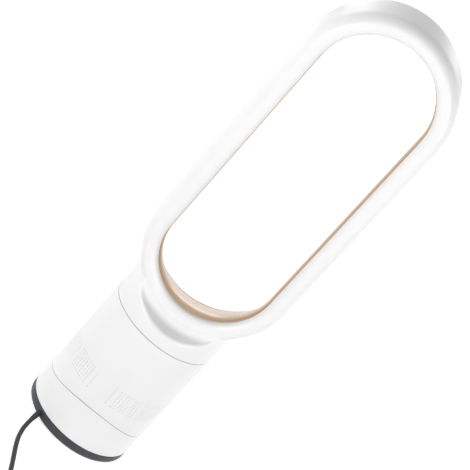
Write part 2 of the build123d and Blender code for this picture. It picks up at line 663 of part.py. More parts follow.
def impeller_housing():
    step_top = FLANGE_LOW + DIFFUSER_HEIGHT
    wall = HOUSING_WALL
    return spun([
        (MOUTH_RADIUS, MOUTH_LOW), (MOUTH_RADIUS + wall, MOUTH_LOW), (THROAT_RADIUS + wall, THROAT_HIGH),
        (EXIT_RADIUS + wall, EXIT_HIGH), (STEP_RADIUS + wall, FLANGE_LOW), (FLANGE_RADIUS, FLANGE_LOW),
        (FLANGE_RADIUS, FLANGE_LOW + wall), (STEP_RADIUS + wall, FLANGE_LOW + wall),
        (STEP_RADIUS + wall, step_top), (STEP_RADIUS, step_top), (STEP_RADIUS, FLANGE_LOW),
        (EXIT_RADIUS, FLANGE_LOW), (EXIT_RADIUS, EXIT_HIGH), (THROAT_RADIUS, THROAT_HIGH)])


def housing_mounts():
    place = FLANGE_RADIUS - MOUNT_RADIUS - 0.5
    return [rod(MOUNT_RADIUS, LEDGE_HIGH, FLANGE_LOW, x, y) for x, y in around(MOUNT_COUNT, place)]


def housing_seal():
    return ring(SEATED_RADIUS, FLANGE_RADIUS + FIT, LEDGE_HIGH, FLANGE_LOW + HOUSING_WALL + 2)


def diffuser():
    high = FLANGE_LOW + DIFFUSER_HEIGHT
    outer = STEP_RADIUS - FIT
    body = ring(outer, outer - 1.6, FLANGE_LOW, high)
    body += ring(BUCKET_RADIUS, BUCKET_RADIUS - BUCKET_WALL, FLANGE_LOW, high)
    half = VANE_THICKNESS / 2
    for k in range(VANES):
        vane = block((BUCKET_RADIUS - 1, outer - 1), (-half, half), (FLANGE_LOW, high))
        body += Rot(0, 0, 360 * k / VANES) * vane
    return body


def lower_bucket():
    cup = rod(BUCKET_RADIUS, BUCKET_LOW, BUCKET_SPLIT)
    cup -= rod(BUCKET_RADIUS - BUCKET_WALL, CAN_LOW, BUCKET_SPLIT + 1)
    return cup - rod(SHAFT_RADIUS + 1, 0, TILT_Z)


def upper_bucket():
    low = FLANGE_LOW + DIFFUSER_HEIGHT
    inner = BUCKET_RADIUS - BUCKET_WALL
    return spun([
        (inner, low), (BUCKET_RADIUS, low), (BUCKET_RADIUS, BUCKET_TOP - 12), (BUCKET_RADIUS / 2, BUCKET_TOP),
        (0, BUCKET_TOP), (0, BUCKET_TOP - BUCKET_WALL), (BUCKET_RADIUS / 2 - 1, BUCKET_TOP - BUCKET_WALL),
        (inner, BUCKET_TOP - 13)])


def motor_can():
    can = rod(CAN_RADIUS, CAN_LOW, CAN_TOP)
    can -= rod(DRUM_RADIUS + 0.6, BEARING_LOW + BEARING_THICKNESS, BEARING_HIGH)
    can -= rod(BEARING_RADIUS, BEARING_LOW, BEARING_HIGH + BEARING_THICKNESS)
    return can - rod(SHAFT_RADIUS + 0.5, 0, BEARING_LOW + 1)


def bearing(low):
    return ring(BEARING_RADIUS, SHAFT_RADIUS + SHAFT_FIT, low, low + BEARING_THICKNESS)


def neck_ring():
    return ring(SEATED_RADIUS, INNER_RADIUS - NECK_LEDGE_WIDTH, NECK_LEDGE_HIGH, COLLAR_LEDGE - WALL - 2)


def neck_seal():
    return ring(SEATED_RADIUS, INNER_RADIUS - NECK_LEDGE_WIDTH, COLLAR_LEDGE - WALL - 2, COLLAR_LEDGE - WALL)


# ---- rotor ---------------------------------------------------------------------------------------
def motor_shaft():
    drum = rod(DRUM_RADIUS, DRUM_LOW, DRUM_LOW + DRUM_HEIGHT)
    return rod(SHAFT_RADIUS, IMPELLER_LOW - 1, BEARING_HIGH + BEARING_THICKNESS - 0.5) + drum


def housing_radius(height):
    """Inner radius of the impeller housing's cone at a height."""
    share = (height - THROAT_HIGH) / (EXIT_HIGH - THROAT_HIGH)
    return THROAT_RADIUS + (EXIT_RADIUS - THROAT_RADIUS) * share


def impeller():
    """A mixed-flow wheel: a cone with swept blades that follow the housing."""
    low = IMPELLER_LOW
    high = IMPELLER_TOP
    hub_radius = BUCKET_RADIUS
    hub = spun([(0, low), (12, low), (16, low + 6), (hub_radius, high - 2), (hub_radius, high), (0, high)])
    hub -= spun([
        (5, low + 12), (12, low + 12), (hub_radius - 6, high - 2), (hub_radius - 6, high + 1), (5, high + 1)])
    envelope = spun([
        (10, low + 2), (housing_radius(low + 2) - TIP_GAP, low + 2), (housing_radius(high) - TIP_GAP, high),
        (hub_radius - 4, high), (14, low + 5)])
    reach = housing_radius(high)
    blades = []
    for k in range(BLADES):
        spine = ThreePointArc((11, 0), (reach * 0.55, reach * 0.16), (reach * 0.82, reach * 0.56))
        sheet = trace(spine, BLADE_THICKNESS)
        blade = Pos(0, 0, low) * extrude(sheet, high - low) & envelope
        blades.append(Rot(0, 0, 360 * k / BLADES) * blade)
    for blade in blades:
        hub += blade
    return hub - rod(SHAFT_RADIUS, 0, TILT_Z)


# ---- loop ----------------------------------------------------------------------------------------
def casing_section():
    """White outer skin: front rim, outer wall, rear bulge and the lip that hides the air slot."""
    front = LOOP_FRONT
    inner_rim = RIM_RADIUS - WALL
    rim_centre = LOOP_RADIUS - RIM_RADIUS
    rim_place = front + RIM_RADIUS
    lip_width = BULGE_RADIUS - LIP_RADIUS
    outside = [
        Line((BAND_FRONT, front), (rim_centre, front)),
        CenterArc((rim_centre, rim_place), RIM_RADIUS, -90, 90),
        Line((LOOP_RADIUS, rim_place), (LOOP_RADIUS, BULGE_PLACE)),
        EllipticalCenterArc((BULGE_RADIUS, BULGE_PLACE), BULGE_WIDTH, BULGE_DEPTH, 0, arc_size=90),
        EllipticalCenterArc((BULGE_RADIUS, LIP_PLACE), lip_width, LIP_DEPTH, 90, arc_size=90),
        Line((LIP_RADIUS, LIP_PLACE), (LIP_RADIUS, LIP_END)),
        Line((LIP_RADIUS, LIP_END), (LIP_RADIUS + LIP_WALL, LIP_END))]
    inside = [
        Line((LIP_RADIUS + LIP_WALL, LIP_END), (LIP_RADIUS + LIP_WALL, LIP_PLACE)),
        EllipticalCenterArc(
            (BULGE_RADIUS, LIP_PLACE), lip_width - LIP_WALL, LIP_DEPTH - WALL, 90, arc_size=90),
        EllipticalCenterArc(
            (BULGE_RADIUS, BULGE_PLACE), BULGE_WIDTH - WALL, BULGE_DEPTH - WALL, 0, arc_size=90),
        Line((LOOP_RADIUS - WALL, rim_place), (LOOP_RADIUS - WALL, BULGE_PLACE)),
        CenterArc((rim_centre, rim_place), inner_rim, -90, 90),
        Line((BAND_FRONT, front + WALL), (rim_centre, front + WALL)),
        Line((BAND_FRONT, front + WALL), (BAND_FRONT, front))]
    return make_face(Wire(outside + inside))


def blend_section(corner, arc_start, arc_middle, arc_end, buried):
    """A concave fillet between the collar's shelf and the loop, closed inside their walls."""
    arc = ThreePointArc(arc_start, arc_middle, arc_end)
    back = Polyline(arc_end, *buried, corner, arc_start)
    return make_face(Wire([arc, *back.edges()]))


def rear_blend():
    turn = radians(BLEND_TURN)
    normal = (cos(turn) / BULGE_WIDTH, sin(turn) / BULGE_DEPTH)
    size = hypot(*normal)
    normal = (normal[0] / size, normal[1] / size)
    touch = (BULGE_RADIUS + BULGE_WIDTH * cos(turn), BULGE_PLACE + BULGE_DEPTH * sin(turn))
    radius = (LOOP_RADIUS - touch[0]) / (1 + normal[0])
    centre = (touch[0] + radius * normal[0], touch[1] + radius * normal[1])
    heading = (atan2(touch[1] - centre[1], touch[0] - centre[0])) / 2
    middle = (centre[0] + radius * cos(heading), centre[1] + radius * sin(heading))
    shelf = (LOOP_RADIUS, centre[1])
    wall = WALL / 2
    buried = [(touch[0], touch[1] - wall),
              (BULGE_RADIUS + (BULGE_WIDTH - wall) * cos(turn / 2),
               BULGE_PLACE + (BULGE_DEPTH - wall) * sin(turn / 2)),
              (LOOP_RADIUS - wall, BULGE_PLACE)]
    return blend_section((LOOP_RADIUS + wall, centre[1]), shelf, middle, touch, buried)


def front_blend():
    centre = (LOOP_RADIUS - FRONT_BLEND, LOOP_FRONT - FRONT_BLEND)
    middle = (centre[0] + FRONT_BLEND * cos(pi / 4), centre[1] + FRONT_BLEND * sin(pi / 4))
    shelf = (LOOP_RADIUS, centre[1])
    touch = (centre[0], LOOP_FRONT)
    wall = WALL / 2
    buried = [(touch[0], LOOP_FRONT + wall),
              (LOOP_RADIUS - RIM_RADIUS, LOOP_FRONT + wall),
              (LOOP_RADIUS - wall, LOOP_FRONT + RIM_RADIUS)]
    return blend_section((LOOP_RADIUS + wall, centre[1]), shelf, middle, touch, buried)


def front_fall(grow):
    """The space over the collar's front shelf, which falls away from the loop."""
    start = FRONT_BLEND - LOOP_FRONT
    reach = BODY_RADIUS - start
    cone = Cone(LOOP_RADIUS + grow, LOOP_RADIUS + 2 * FRONT_FALL + grow, 2 * reach,
                align=(Align.CENTER, Align.CENTER, Align.MIN))
    return Pos(0, -start, LOOP_LOW_Z) * Rot(90, 0, 0) * cone


def collar():
    """The body's cylinder carried up to the loop, closed by a saddle under it."""
    outside = rod(BODY_RADIUS, COLLAR_LOW, LOOP_LOW_Z) - loop_drum(LOOP_RADIUS) - front_fall(0)
    inside = rod(INNER_RADIUS, COLLAR_LOW - 1, LOOP_LOW_Z) - loop_drum(LOOP_RADIUS + WALL)
    inside -= front_fall(WALL)
    ledge = ring(INNER_RADIUS + 1, INNER_RADIUS - NECK_LEDGE_WIDTH, COLLAR_LEDGE - WALL, COLLAR_LEDGE)
    return outside - inside + ledge


def nozzle_casing():
    body = loop_solid(casing_section()) + collar()
    axis = Axis((0, 0, LOOP_LOW_Z), (0, 1, 0))
    for section in (rear_blend(), front_blend()):
        fillet_ring = revolve(Pos(0, 0, LOOP_LOW_Z) * section, axis, 180)
        body += fillet_ring & rod(BODY_RADIUS, COLLAR_LOW, LOOP_LOW_Z)
    top = LOOP_LOW_Z - BULGE_RADIUS + 4
    passage = block((-PASSAGE_X, PASSAGE_X), (-PASSAGE_Y, PASSAGE_Y), (COLLAR_LOW, top))
    return body - passage


def inner_band():
    """Gold band: its nose stands proud of the lip, then it flares to the front rim."""
    nose = BAND_NOSE + NOSE_WIDTH
    front = (BAND_FRONT, BAND_END)
    back = (BAND_FRONT + BAND_WALL, BAND_END)
    bend = 0.27 * (NOSE_PLACE - BAND_END)
    skin = [
        EllipticalCenterArc((nose, NOSE_PLACE), NOSE_WIDTH, NOSE_DEPTH, 90, arc_size=90),
        Bezier((BAND_NOSE, NOSE_PLACE), (BAND_NOSE, NOSE_PLACE - bend), front),
        Line(front, back),
        Bezier((BAND_NOSE + BAND_WALL, NOSE_PLACE), (BAND_NOSE + BAND_WALL, NOSE_PLACE - bend), back),
        EllipticalCenterArc(
            (nose, NOSE_PLACE), NOSE_WIDTH - BAND_WALL, NOSE_DEPTH - BAND_WALL, 90, arc_size=90),
        Line((nose, NOSE_PLACE + NOSE_DEPTH), (nose, NOSE_PLACE + NOSE_DEPTH - BAND_WALL))]
    return loop_solid(make_face(Wire(skin)))


def slot_spacers():
    """Small blocks between the rear of the band and the bulge, round the loop."""
    near = BAND_NOSE + NOSE_WIDTH - BAND_WALL
    low = NOSE_PLACE + NOSE_DEPTH
    high = LOOP_REAR - WALL
    spacer = block((near, near + 4), (low, high), (-1.5, 1.5))
    spacers = []
    for k in range(1, SPACER_TURNS):
        turn = 180 * k / SPACER_TURNS
        spacers.append(Pos(0, 0, LOOP_LOW_Z) * Rot(0, turn, 0) * spacer)
        spacers.append(Pos(0, 0, LOOP_HIGH_Z) * Rot(0, -turn, 0) * spacer)
    for k in range(5):
        height = LOOP_LOW_Z + LOOP_STRAIGHT * k / 4
        right = Pos(0, 0, height) * spacer
        spacers += [right, mirror(right, Plane.YZ)]
    hollow = loop_solid(casing_section())
    return [piece - hollow for piece in spacers]


# ---- all pieces ----------------------------------------------------------------------------------
def main():
    plug_body, plug_pins = plug_pieces()
    buttons = [button(x) for x in button_places()]
    pieces = {
        "foot_dish": foot_dish(), "rubber_feet": rubber_feet(), "slide_ring": slide_ring(),
        "fixed_gear": fixed_gear(), "gear_screws": gear_screws(),
        "pivot_retainer": pivot_retainer(), "retainer_screws": retainer_screws(),
        "cord_gland": cord_gland(), "cord_lead": tube("cord_lead", [lead_start()] + LEAD_ROUTE),
        "cord_coil": cord_coil(), "cord_tail": tube("cord_tail", TAIL_ROUTE),
        "plug_body": plug_body, "plug_pins": plug_pins,
        "base_shell": base_shell(), "rotor_plate": rotor_plate(), "base_screws": base_screws(),
        "cradle_plate": cradle_plate(), "cradle_screws": cradle_screws(),
        "swing_motor": swing_motor(), "motor_screws": motor_screws(), "swing_pinion": swing_pinion(),
        "control_board": control_board(), "power_board": power_board(), "display_window": display_window(),
        "power_button": buttons[0], "airflow_down_button": buttons[1],
        "airflow_up_button": buttons[2], "swing_button": buttons[3],
        "shoe_plate": shoe_plate(), "tilt_washer": tilt_washer(), "tilt_bolt": tilt_bolt(),
        "inlet_shroud": inlet_shroud(), "window_frame": window_frame(), "silencing_foam": silencing_foam(),
        "impeller_housing": impeller_housing(), "housing_mounts": housing_mounts(),
        "housing_seal": housing_seal(), "diffuser": diffuser(), "lower_bucket": lower_bucket(),
        "upper_bucket": upper_bucket(), "motor_can": motor_can(),
        "lower_bearing": bearing(BEARING_LOW), "upper_bearing": bearing(BEARING_HIGH),
        "neck_ring": neck_ring(), "neck_seal": neck_seal(),
        "motor_shaft": motor_shaft(), "impeller": impeller(),
        "nozzle_casing": nozzle_casing(), "inner_band": inner_band(), "slot_spacers": slot_spacers(),
    }
    os.makedirs("parts", exist_ok=True)
    for name, shape in pieces.items():
        shapes = shape if isinstance(shape, list) else [shape]
        solids = [solid for piece in shapes for solid in piece.solids()]
        export_step(Compound(children=solids) if len(solids) > 1 else solids[0], f"parts/{name}.step")


main()
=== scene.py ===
"""A bladeless fan for Blender 4.5: foot, turning base, tilting body, oval loop and mains lead.

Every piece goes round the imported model, in metres, in the same frame: +Z up, air blows towards -Y.
"""
import json
from math import asin, atan2, copysign, cos, degrees, hypot, pi, radians, sin, sqrt

import bmesh
import bpy
from mathutils import Matrix, Vector


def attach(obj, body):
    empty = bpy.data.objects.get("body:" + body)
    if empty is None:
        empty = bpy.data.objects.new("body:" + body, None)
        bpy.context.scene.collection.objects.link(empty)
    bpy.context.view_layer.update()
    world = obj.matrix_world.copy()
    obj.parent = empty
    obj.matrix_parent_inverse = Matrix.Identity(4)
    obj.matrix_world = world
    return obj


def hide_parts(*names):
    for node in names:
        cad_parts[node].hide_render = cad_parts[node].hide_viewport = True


bl_info = {
    "name": "Bladeless Fan",
    "version": (1, 0, 0),
    "blender": (4, 5, 0),
    "location": "3D View > Sidebar > Fan",
    "description": "Builds a bladeless fan and its studio, piece by piece",
    "category": "Object",
}

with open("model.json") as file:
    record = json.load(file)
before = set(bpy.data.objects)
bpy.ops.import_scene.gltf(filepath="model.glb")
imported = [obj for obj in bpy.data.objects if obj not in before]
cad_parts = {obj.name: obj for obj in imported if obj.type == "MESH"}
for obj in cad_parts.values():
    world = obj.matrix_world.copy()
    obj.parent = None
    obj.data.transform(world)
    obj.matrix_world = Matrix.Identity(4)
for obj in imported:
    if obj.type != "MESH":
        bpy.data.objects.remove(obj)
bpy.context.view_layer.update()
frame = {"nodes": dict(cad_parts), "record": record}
NODES = frame["nodes"]
MM = 0.001

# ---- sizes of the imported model, in millimetres ----
BODY_RADIUS = 75.0
WALL = 2.5
INNER_RADIUS = BODY_RADIUS - WALL
FOOT_LOW = 1.2
FOOT_TOP = 15.0
BASE_LOW = 15.6
SADDLE_LOW = 50.0
TILT_RADIUS = 157.5
TILT_HEIGHT = SADDLE_LOW + TILT_RADIUS
SEAM = 0.6
SHROUD_TOP = 193.8
COLLAR_LOW = 194.6
LOOP_LOW = 316.2
LOOP_STRAIGHT = 283.3
LOOP_RADIUS = 102.0
LOOP_FRONT = -40.0
LOOP_REAR = 46.0
BULGE_WIDTH = 12.0
BULGE_DEPTH = 24.0
BULGE_RADIUS = LOOP_RADIUS - BULGE_WIDTH
BULGE_PLACE = LOOP_REAR - BULGE_DEPTH
LIP_RADIUS = 77.6
LIP_DEPTH = 8.0
LIP_PLACE = LOOP_REAR - LIP_DEPTH
LIP_END = 35.0
LIP_WALL = 1.8
BAND_FRONT = 94.0
BAND_NOSE = 75.3
BAND_END = -37.2
NOSE_PLACE = 26.0
NOSE_WIDTH = 10.0
NOSE_DEPTH = 10.5
BAND_WALL = 2.0

# ---- mains lead, in metres ----
CORD_RADIUS = 0.003
CORD_TURN = radians(9.5)
GLAND_PLACE = Vector((0.048, 0.057628, 0.0075))
LEAD_START = Vector((0.051664, 0.079523, 0.0075))
LEAD_ROUTE = [
    (0.0536, 0.0930, 0.0062), (0.0546, 0.1100, 0.0034), (0.0534, 0.1300, 0.0030),
    (0.0496, 0.1520, 0.0030), (0.0440, 0.1770, 0.0030), (0.0390, 0.2040, 0.0030),
    (0.0358, 0.2300, 0.0030), (0.0349, 0.2520, 0.0030), (0.0351, 0.2730, 0.0030)]
TAIL_ROUTE = [
    (-0.0452, 0.2760, 0.0134), (-0.0464, 0.2650, 0.0124), (-0.0486, 0.2520, 0.0090),
    (-0.0507, 0.2410, 0.0071), (-0.0516, 0.2310, 0.0070)]
PLUG_PLACE = Vector((-0.0516, 0.2308, 0.0070))
COIL_CENTRE = Vector((-0.008, 0.285, 0.0))


# ---- user settings ----
class FanFinishes(bpy.types.PropertyGroup):
    """Colours of the fan's visible finishes"""
    shell: bpy.props.FloatVectorProperty(
        name="Shell", description="White of the loop, body and base", subtype="COLOR", size=3,
        min=0.0, max=1.0, default=(0.86, 0.86, 0.865))
    band: bpy.props.FloatVectorProperty(
        name="Band", description="Gold of the band inside the loop", subtype="COLOR", size=3,
        min=0.0, max=1.0, default=(0.56, 0.41, 0.29))
    foot: bpy.props.FloatVectorProperty(
        name="Foot", description="Dark grey of the foot", subtype="COLOR", size=3,
        min=0.0, max=1.0, default=(0.043, 0.045, 0.053))
    jacket: bpy.props.FloatVectorProperty(
        name="Lead", description="Dark grey of the mains lead and its plug", subtype="COLOR", size=3,
        min=0.0, max=1.0, default=(0.020, 0.021, 0.024))
    wear: bpy.props.FloatProperty(
        name="Handling", description="How much the surfaces show handling and dust", subtype="FACTOR",
        min=0.0, max=1.0, default=0.35)


class FanSizes(bpy.types.PropertyGroup):
    """Small sizes that are only a matter of looks"""
    edge: bpy.props.FloatProperty(
        name="Edge rounding", description="Rounding of the shells' edges at the seams",
        subtype="DISTANCE", unit="LENGTH", min=0.0001, max=0.001, default=0.0004)
    loop_steps: bpy.props.IntProperty(
        name="Loop steps", description="Steps round each half turn of the loop", min=16, max=96,
        default=56)


class FanStage(bpy.types.PropertyGroup):
    """Light round the fan"""
    level: bpy.props.FloatProperty(
        name="Surroundings", description="Strength of the even light from all round", min=0.0, max=4.0,
        default=0.17)
    sides: bpy.props.FloatProperty(
        name="Sides", description="Added strength of the surroundings on both sides", min=0.0, max=4.0,
        default=1.9)
    key: bpy.props.FloatProperty(
        name="Side lamps", description="Power of the left lamp; the right one is a little weaker",
        subtype="POWER", unit="POWER", min=0.0, max=200.0, default=37.0)
    front: bpy.props.FloatProperty(
        name="Front lamp", description="Power of the low lamp in front", subtype="POWER", unit="POWER",
        min=0.0, max=50.0, default=5.5)
    floor: bpy.props.FloatProperty(
        name="Floor glow", description="White added to the floor where the backdrop shows", min=0.0,
        max=4.0, default=0.72)


def finishes():
    return bpy.context.scene.fan_finishes


def sizes():
    return bpy.context.scene.fan_sizes


# ---- shader nodes ----
def feed(tree, inputs, sources):
    """Links sockets into inputs, and sets the inputs that get a plain value."""
    for key, source in sources.items():
        if isinstance(source, bpy.types.NodeSocket):
            tree.links.new(source, inputs[key])
        else:
            inputs[key].default_value = source


def add_node(tree, kind, sources=None, **settings):
    """A new shader node with its settings and what feeds it; gives its outputs."""
    node = tree.nodes.new("ShaderNode" + kind)
    for key, value in settings.items():
        setattr(node, key, value)
    feed(tree, node.inputs, sources or {})
    return node.outputs


def reckoned(tree, operation, *sources, clamp=False):
    """What a sum makes of sockets and numbers."""
    return add_node(tree, "Math", dict(enumerate(sources)), operation=operation, use_clamp=clamp)[0]


def ranged(tree, value, start=0.0, end=1.0, least=0.0, most=1.0, **settings):
    """A value with the range from start to end carried over to that from least to most."""
    return add_node(tree, "MapRange", {"Value": value, "From Min": start, "From Max": end,
                                       "To Min": least, "To Max": most}, **settings)["Result"]


def shaded(tree, colour, shade):
    return add_node(tree, "VectorMath", {0: colour, "Scale": shade}, operation="SCALE")["Vector"]


def noise(tree, place, size, detail, **sources):
    sources = {"Vector": place, "Scale": size, "Detail": detail, **sources}
    return add_node(tree, "TexNoise", sources)["Fac"]


def bumped(tree, height, strength, distance, **sources):
    return add_node(tree, "Bump", {"Height": height, "Strength": strength, "Distance": distance,
                                   **sources})["Normal"]


def shown_rays(tree):
    """One where the camera, a reflection or a clear piece sees the backdrop, nought for plain light."""
    path = add_node(tree, "LightPath")
    seen = reckoned(tree, "ADD", path["Is Camera Ray"], path["Is Glossy Ray"])
    return reckoned(tree, "ADD", seen, path["Is Transmission Ray"], clamp=True)


def shader_group(name, inputs, outputs):
    """An empty group with inputs by their defaults and outputs by their kinds."""
    tree = bpy.data.node_groups.new(name, "ShaderNodeTree")
    for label, default in inputs.items():
        kind = "Float" if isinstance(default, float) else {3: "Vector", 4: "Color"}[len(default)]
        socket = tree.interface.new_socket(name=label, in_out="INPUT", socket_type="NodeSocket" + kind)
        socket.default_value = default
    for label, kind in outputs.items():
        tree.interface.new_socket(name=label, in_out="OUTPUT", socket_type="NodeSocket" + kind)
    return tree, tree.nodes.new("NodeGroupInput").outputs, tree.nodes.new("NodeGroupOutput").inputs


# ---- shader groups ----
RIPPLE_SIZE = 55.0
CLOUD_SIZE = 14.0
SPECK_SIZE = 1500.0


def moulded_skin():
    """Fine skin of a moulded plastic: a soft ripple, a fine grain, and uneven gloss and tone."""
    tree, given, out = shader_group("moulded_skin", {
        "Colour": (0.8, 0.8, 0.8, 1), "Grain size": 900.0, "Grain depth": 0.10, "Ripple depth": 0.04,
        "Roughness": 0.35, "Gloss spread": 0.06, "Tone spread": 0.02},
        {"Colour": "Color", "Roughness": "Float", "Normal": "Vector"})
    place = add_node(tree, "TexCoord")["Object"]
    grain = noise(tree, place, given["Grain size"], 3.0)
    ripple = noise(tree, place, RIPPLE_SIZE, 2.0)
    cloud = reckoned(tree, "SUBTRACT", noise(tree, place, CLOUD_SIZE, 4.0), 0.5)
    low = bumped(tree, ripple, given["Ripple depth"], 0.002)
    tone = reckoned(tree, "MULTIPLY_ADD", cloud, given["Tone spread"], 1.0)
    feed(tree, out, {
        "Colour": shaded(tree, given["Colour"], tone),
        "Roughness": reckoned(tree, "MULTIPLY_ADD", cloud, given["Gloss spread"], given["Roughness"]),
        "Normal": bumped(tree, grain, given["Grain depth"], 0.0003, Normal=low)})
    return tree


def handling():
    """A mask of faint smudges and, on faces that look up, settled dust."""
    tree, given, out = shader_group("handling", {"Amount": 0.3, "Smudge size": 30.0},
                                    {"Smudge": "Float", "Dust": "Float"})
    coords = add_node(tree, "TexCoord")
    smear = noise(tree, coords["Object"], given["Smudge size"], 5.0, Distortion=1.2)
    specks = noise(tree, coords["Object"], SPECK_SIZE, 6.0)
    level = ranged(tree, add_node(tree, "SeparateXYZ", {"Vector": coords["Normal"]})["Z"], 0.75, 1.0)
    dust = reckoned(tree, "MULTIPLY", level, ranged(tree, specks, 0.35, 0.9))
    smear = ranged(tree, smear, 0.55, 0.8)
    feed(tree, out, {"Smudge": reckoned(tree, "MULTIPLY", smear, given["Amount"]),
                     "Dust": reckoned(tree, "MULTIPLY", dust, given["Amount"])})
    return tree


def relief_group(build):
    """A group that shades a colour and bends a normal by the shade and height that build makes."""
    tree, given, out = shader_group(build.__name__, {
        "Colour": (0.5, 0.5, 0.5, 1), "Normal": (0, 0, 0), "Size": 300.0, "Depth": 0.2},
        {"Colour": "Color", "Normal": "Vector"})
    shade, height = build(tree, add_node(tree, "TexCoord")["Object"], given["Size"])
    feed(tree, out, {"Colour": shaded(tree, given["Colour"], shade),
                     "Normal": bumped(tree, height, given["Depth"], 0.0005, Normal=given["Normal"])})
    return tree


def brushed_lines(tree, place, size):
    """Fine rings about the upright axis, as a lathe or a press leaves on metal."""
    split = add_node(tree, "SeparateXYZ", {"Vector": place})
    flat = add_node(tree, "CombineXYZ", {"X": split["X"], "Y": split["Y"]})["Vector"]
    away = add_node(tree, "VectorMath", {0: flat}, operation="LENGTH")["Value"]
    lines = noise(tree, add_node(tree, "CombineXYZ", {"X": away, "Z": split["Z"]})["Vector"], size, 3.0)
    return ranged(tree, lines, least=0.8, most=1.15), lines


def open_cells(tree, place, size):
    """Open foam: thin ribs between cells; the cells are darkened as painted shade in their hollows, and
    the ribs lightened as painted light.
    """
    cells = add_node(tree, "TexVoronoi", {"Vector": place, "Scale": size})["Distance"]
    # painted shade in each cell's hollow and painted light on the ribs: the colour runs from 0.35 at a
    # cell's middle to 1.5 at its edge
    return ranged(tree, cells, 0.15, 0.6, 0.35, 1.5), cells


def board_tracks(tree, place, size):
    """Solder mask over upright and level tracks."""
    split = add_node(tree, "SeparateXYZ", {"Vector": place})
    across = reckoned(tree, "ADD", split["X"], split["Y"])
    face = add_node(tree, "CombineXYZ", {"X": across, "Y": split["Z"]})["Vector"]
    tracks = add_node(tree, "TexBrick", {
        "Vector": face, "Scale": size, "Mortar Size": 0.05, "Mortar Smooth": 0.1,
        "Color1": (0.7, 0.7, 0.7, 1), "Color2": (1, 1, 1, 1), "Mortar": (1.9, 1.9, 1.9, 1)})["Color"]
    return tracks, tracks


def woven(tree, place, size):
    """Two crossing sets of threads, with painted shade in the gaps between them and painted light on their
    crowns.
    """
    threads = [add_node(tree, "TexWave", {"Vector": place, "Scale": size, "Detail": 0.0},
                        bands_direction=way)["Fac"] for way in ("X", "Z")]
    top = reckoned(tree, "MAXIMUM", *threads)
    # painted shade: the colour drops to 0.6 where neither set of threads rises, and painted light lifts it
    # to 1.1 on the crowns
    return ranged(tree, top, least=0.6, most=1.1), top


# ---- finishes ----
SMUDGE_ROUGHNESS = 0.22


def group_node(tree, build, sources, *terms):
    """A group placed in a material with its own values; the group is built at its first use."""
    name = (terms or (build,))[0].__name__
    made = bpy.data.node_groups.get(name) or build(*terms)
    return add_node(tree, "Group", sources, node_tree=made)


def finish(name, colour, roughness, metallic=0.0, grain=900.0, depth=0.10, ripple=0.04,
           gloss_spread=0.06, tone=0.02, wear=0.0, dust=(0.55, 0.53, 0.50), relief=None, **shader):
    """A moulded, painted or plated finish: its skin, relief, handling and own shader settings.

    A colour may name one of the user's own, and a relief is its builder, its size and its depth.
    """
    made = bpy.data.materials.get(name)
    if made:
        return made
    made = bpy.data.materials.new(name)
    made.use_nodes = True
    tree = made.node_tree
    if isinstance(colour, str):
        colour = getattr(finishes(), colour)
    skin = group_node(tree, moulded_skin, {
        "Colour": (*colour, 1), "Grain size": grain, "Grain depth": depth, "Ripple depth": ripple,
        "Roughness": roughness, "Gloss spread": gloss_spread, "Tone spread": tone})
    face = skin
    if relief:
        build, size, deep = relief
        face = group_node(tree, relief_group, {
            "Colour": skin["Colour"], "Normal": skin["Normal"], "Size": size, "Depth": deep}, build)
    marks_seen = group_node(tree, handling, {"Amount": wear * finishes().wear})
    dusty = add_node(tree, "Mix", {"Factor": marks_seen["Dust"], 6: face["Colour"], 7: (*dust, 1)},
                     data_type="RGBA")[2]
    rough = reckoned(tree, "MULTIPLY_ADD", marks_seen["Smudge"], SMUDGE_ROUGHNESS, skin["Roughness"],
                     clamp=True)
    feed(tree, tree.nodes["Principled BSDF"].inputs, {
        "Base Color": dusty, "Roughness": rough, "Normal": face["Normal"], "Metallic": metallic,
        **{key.replace("_", " "): value for key, value in shader.items()}})
    return made


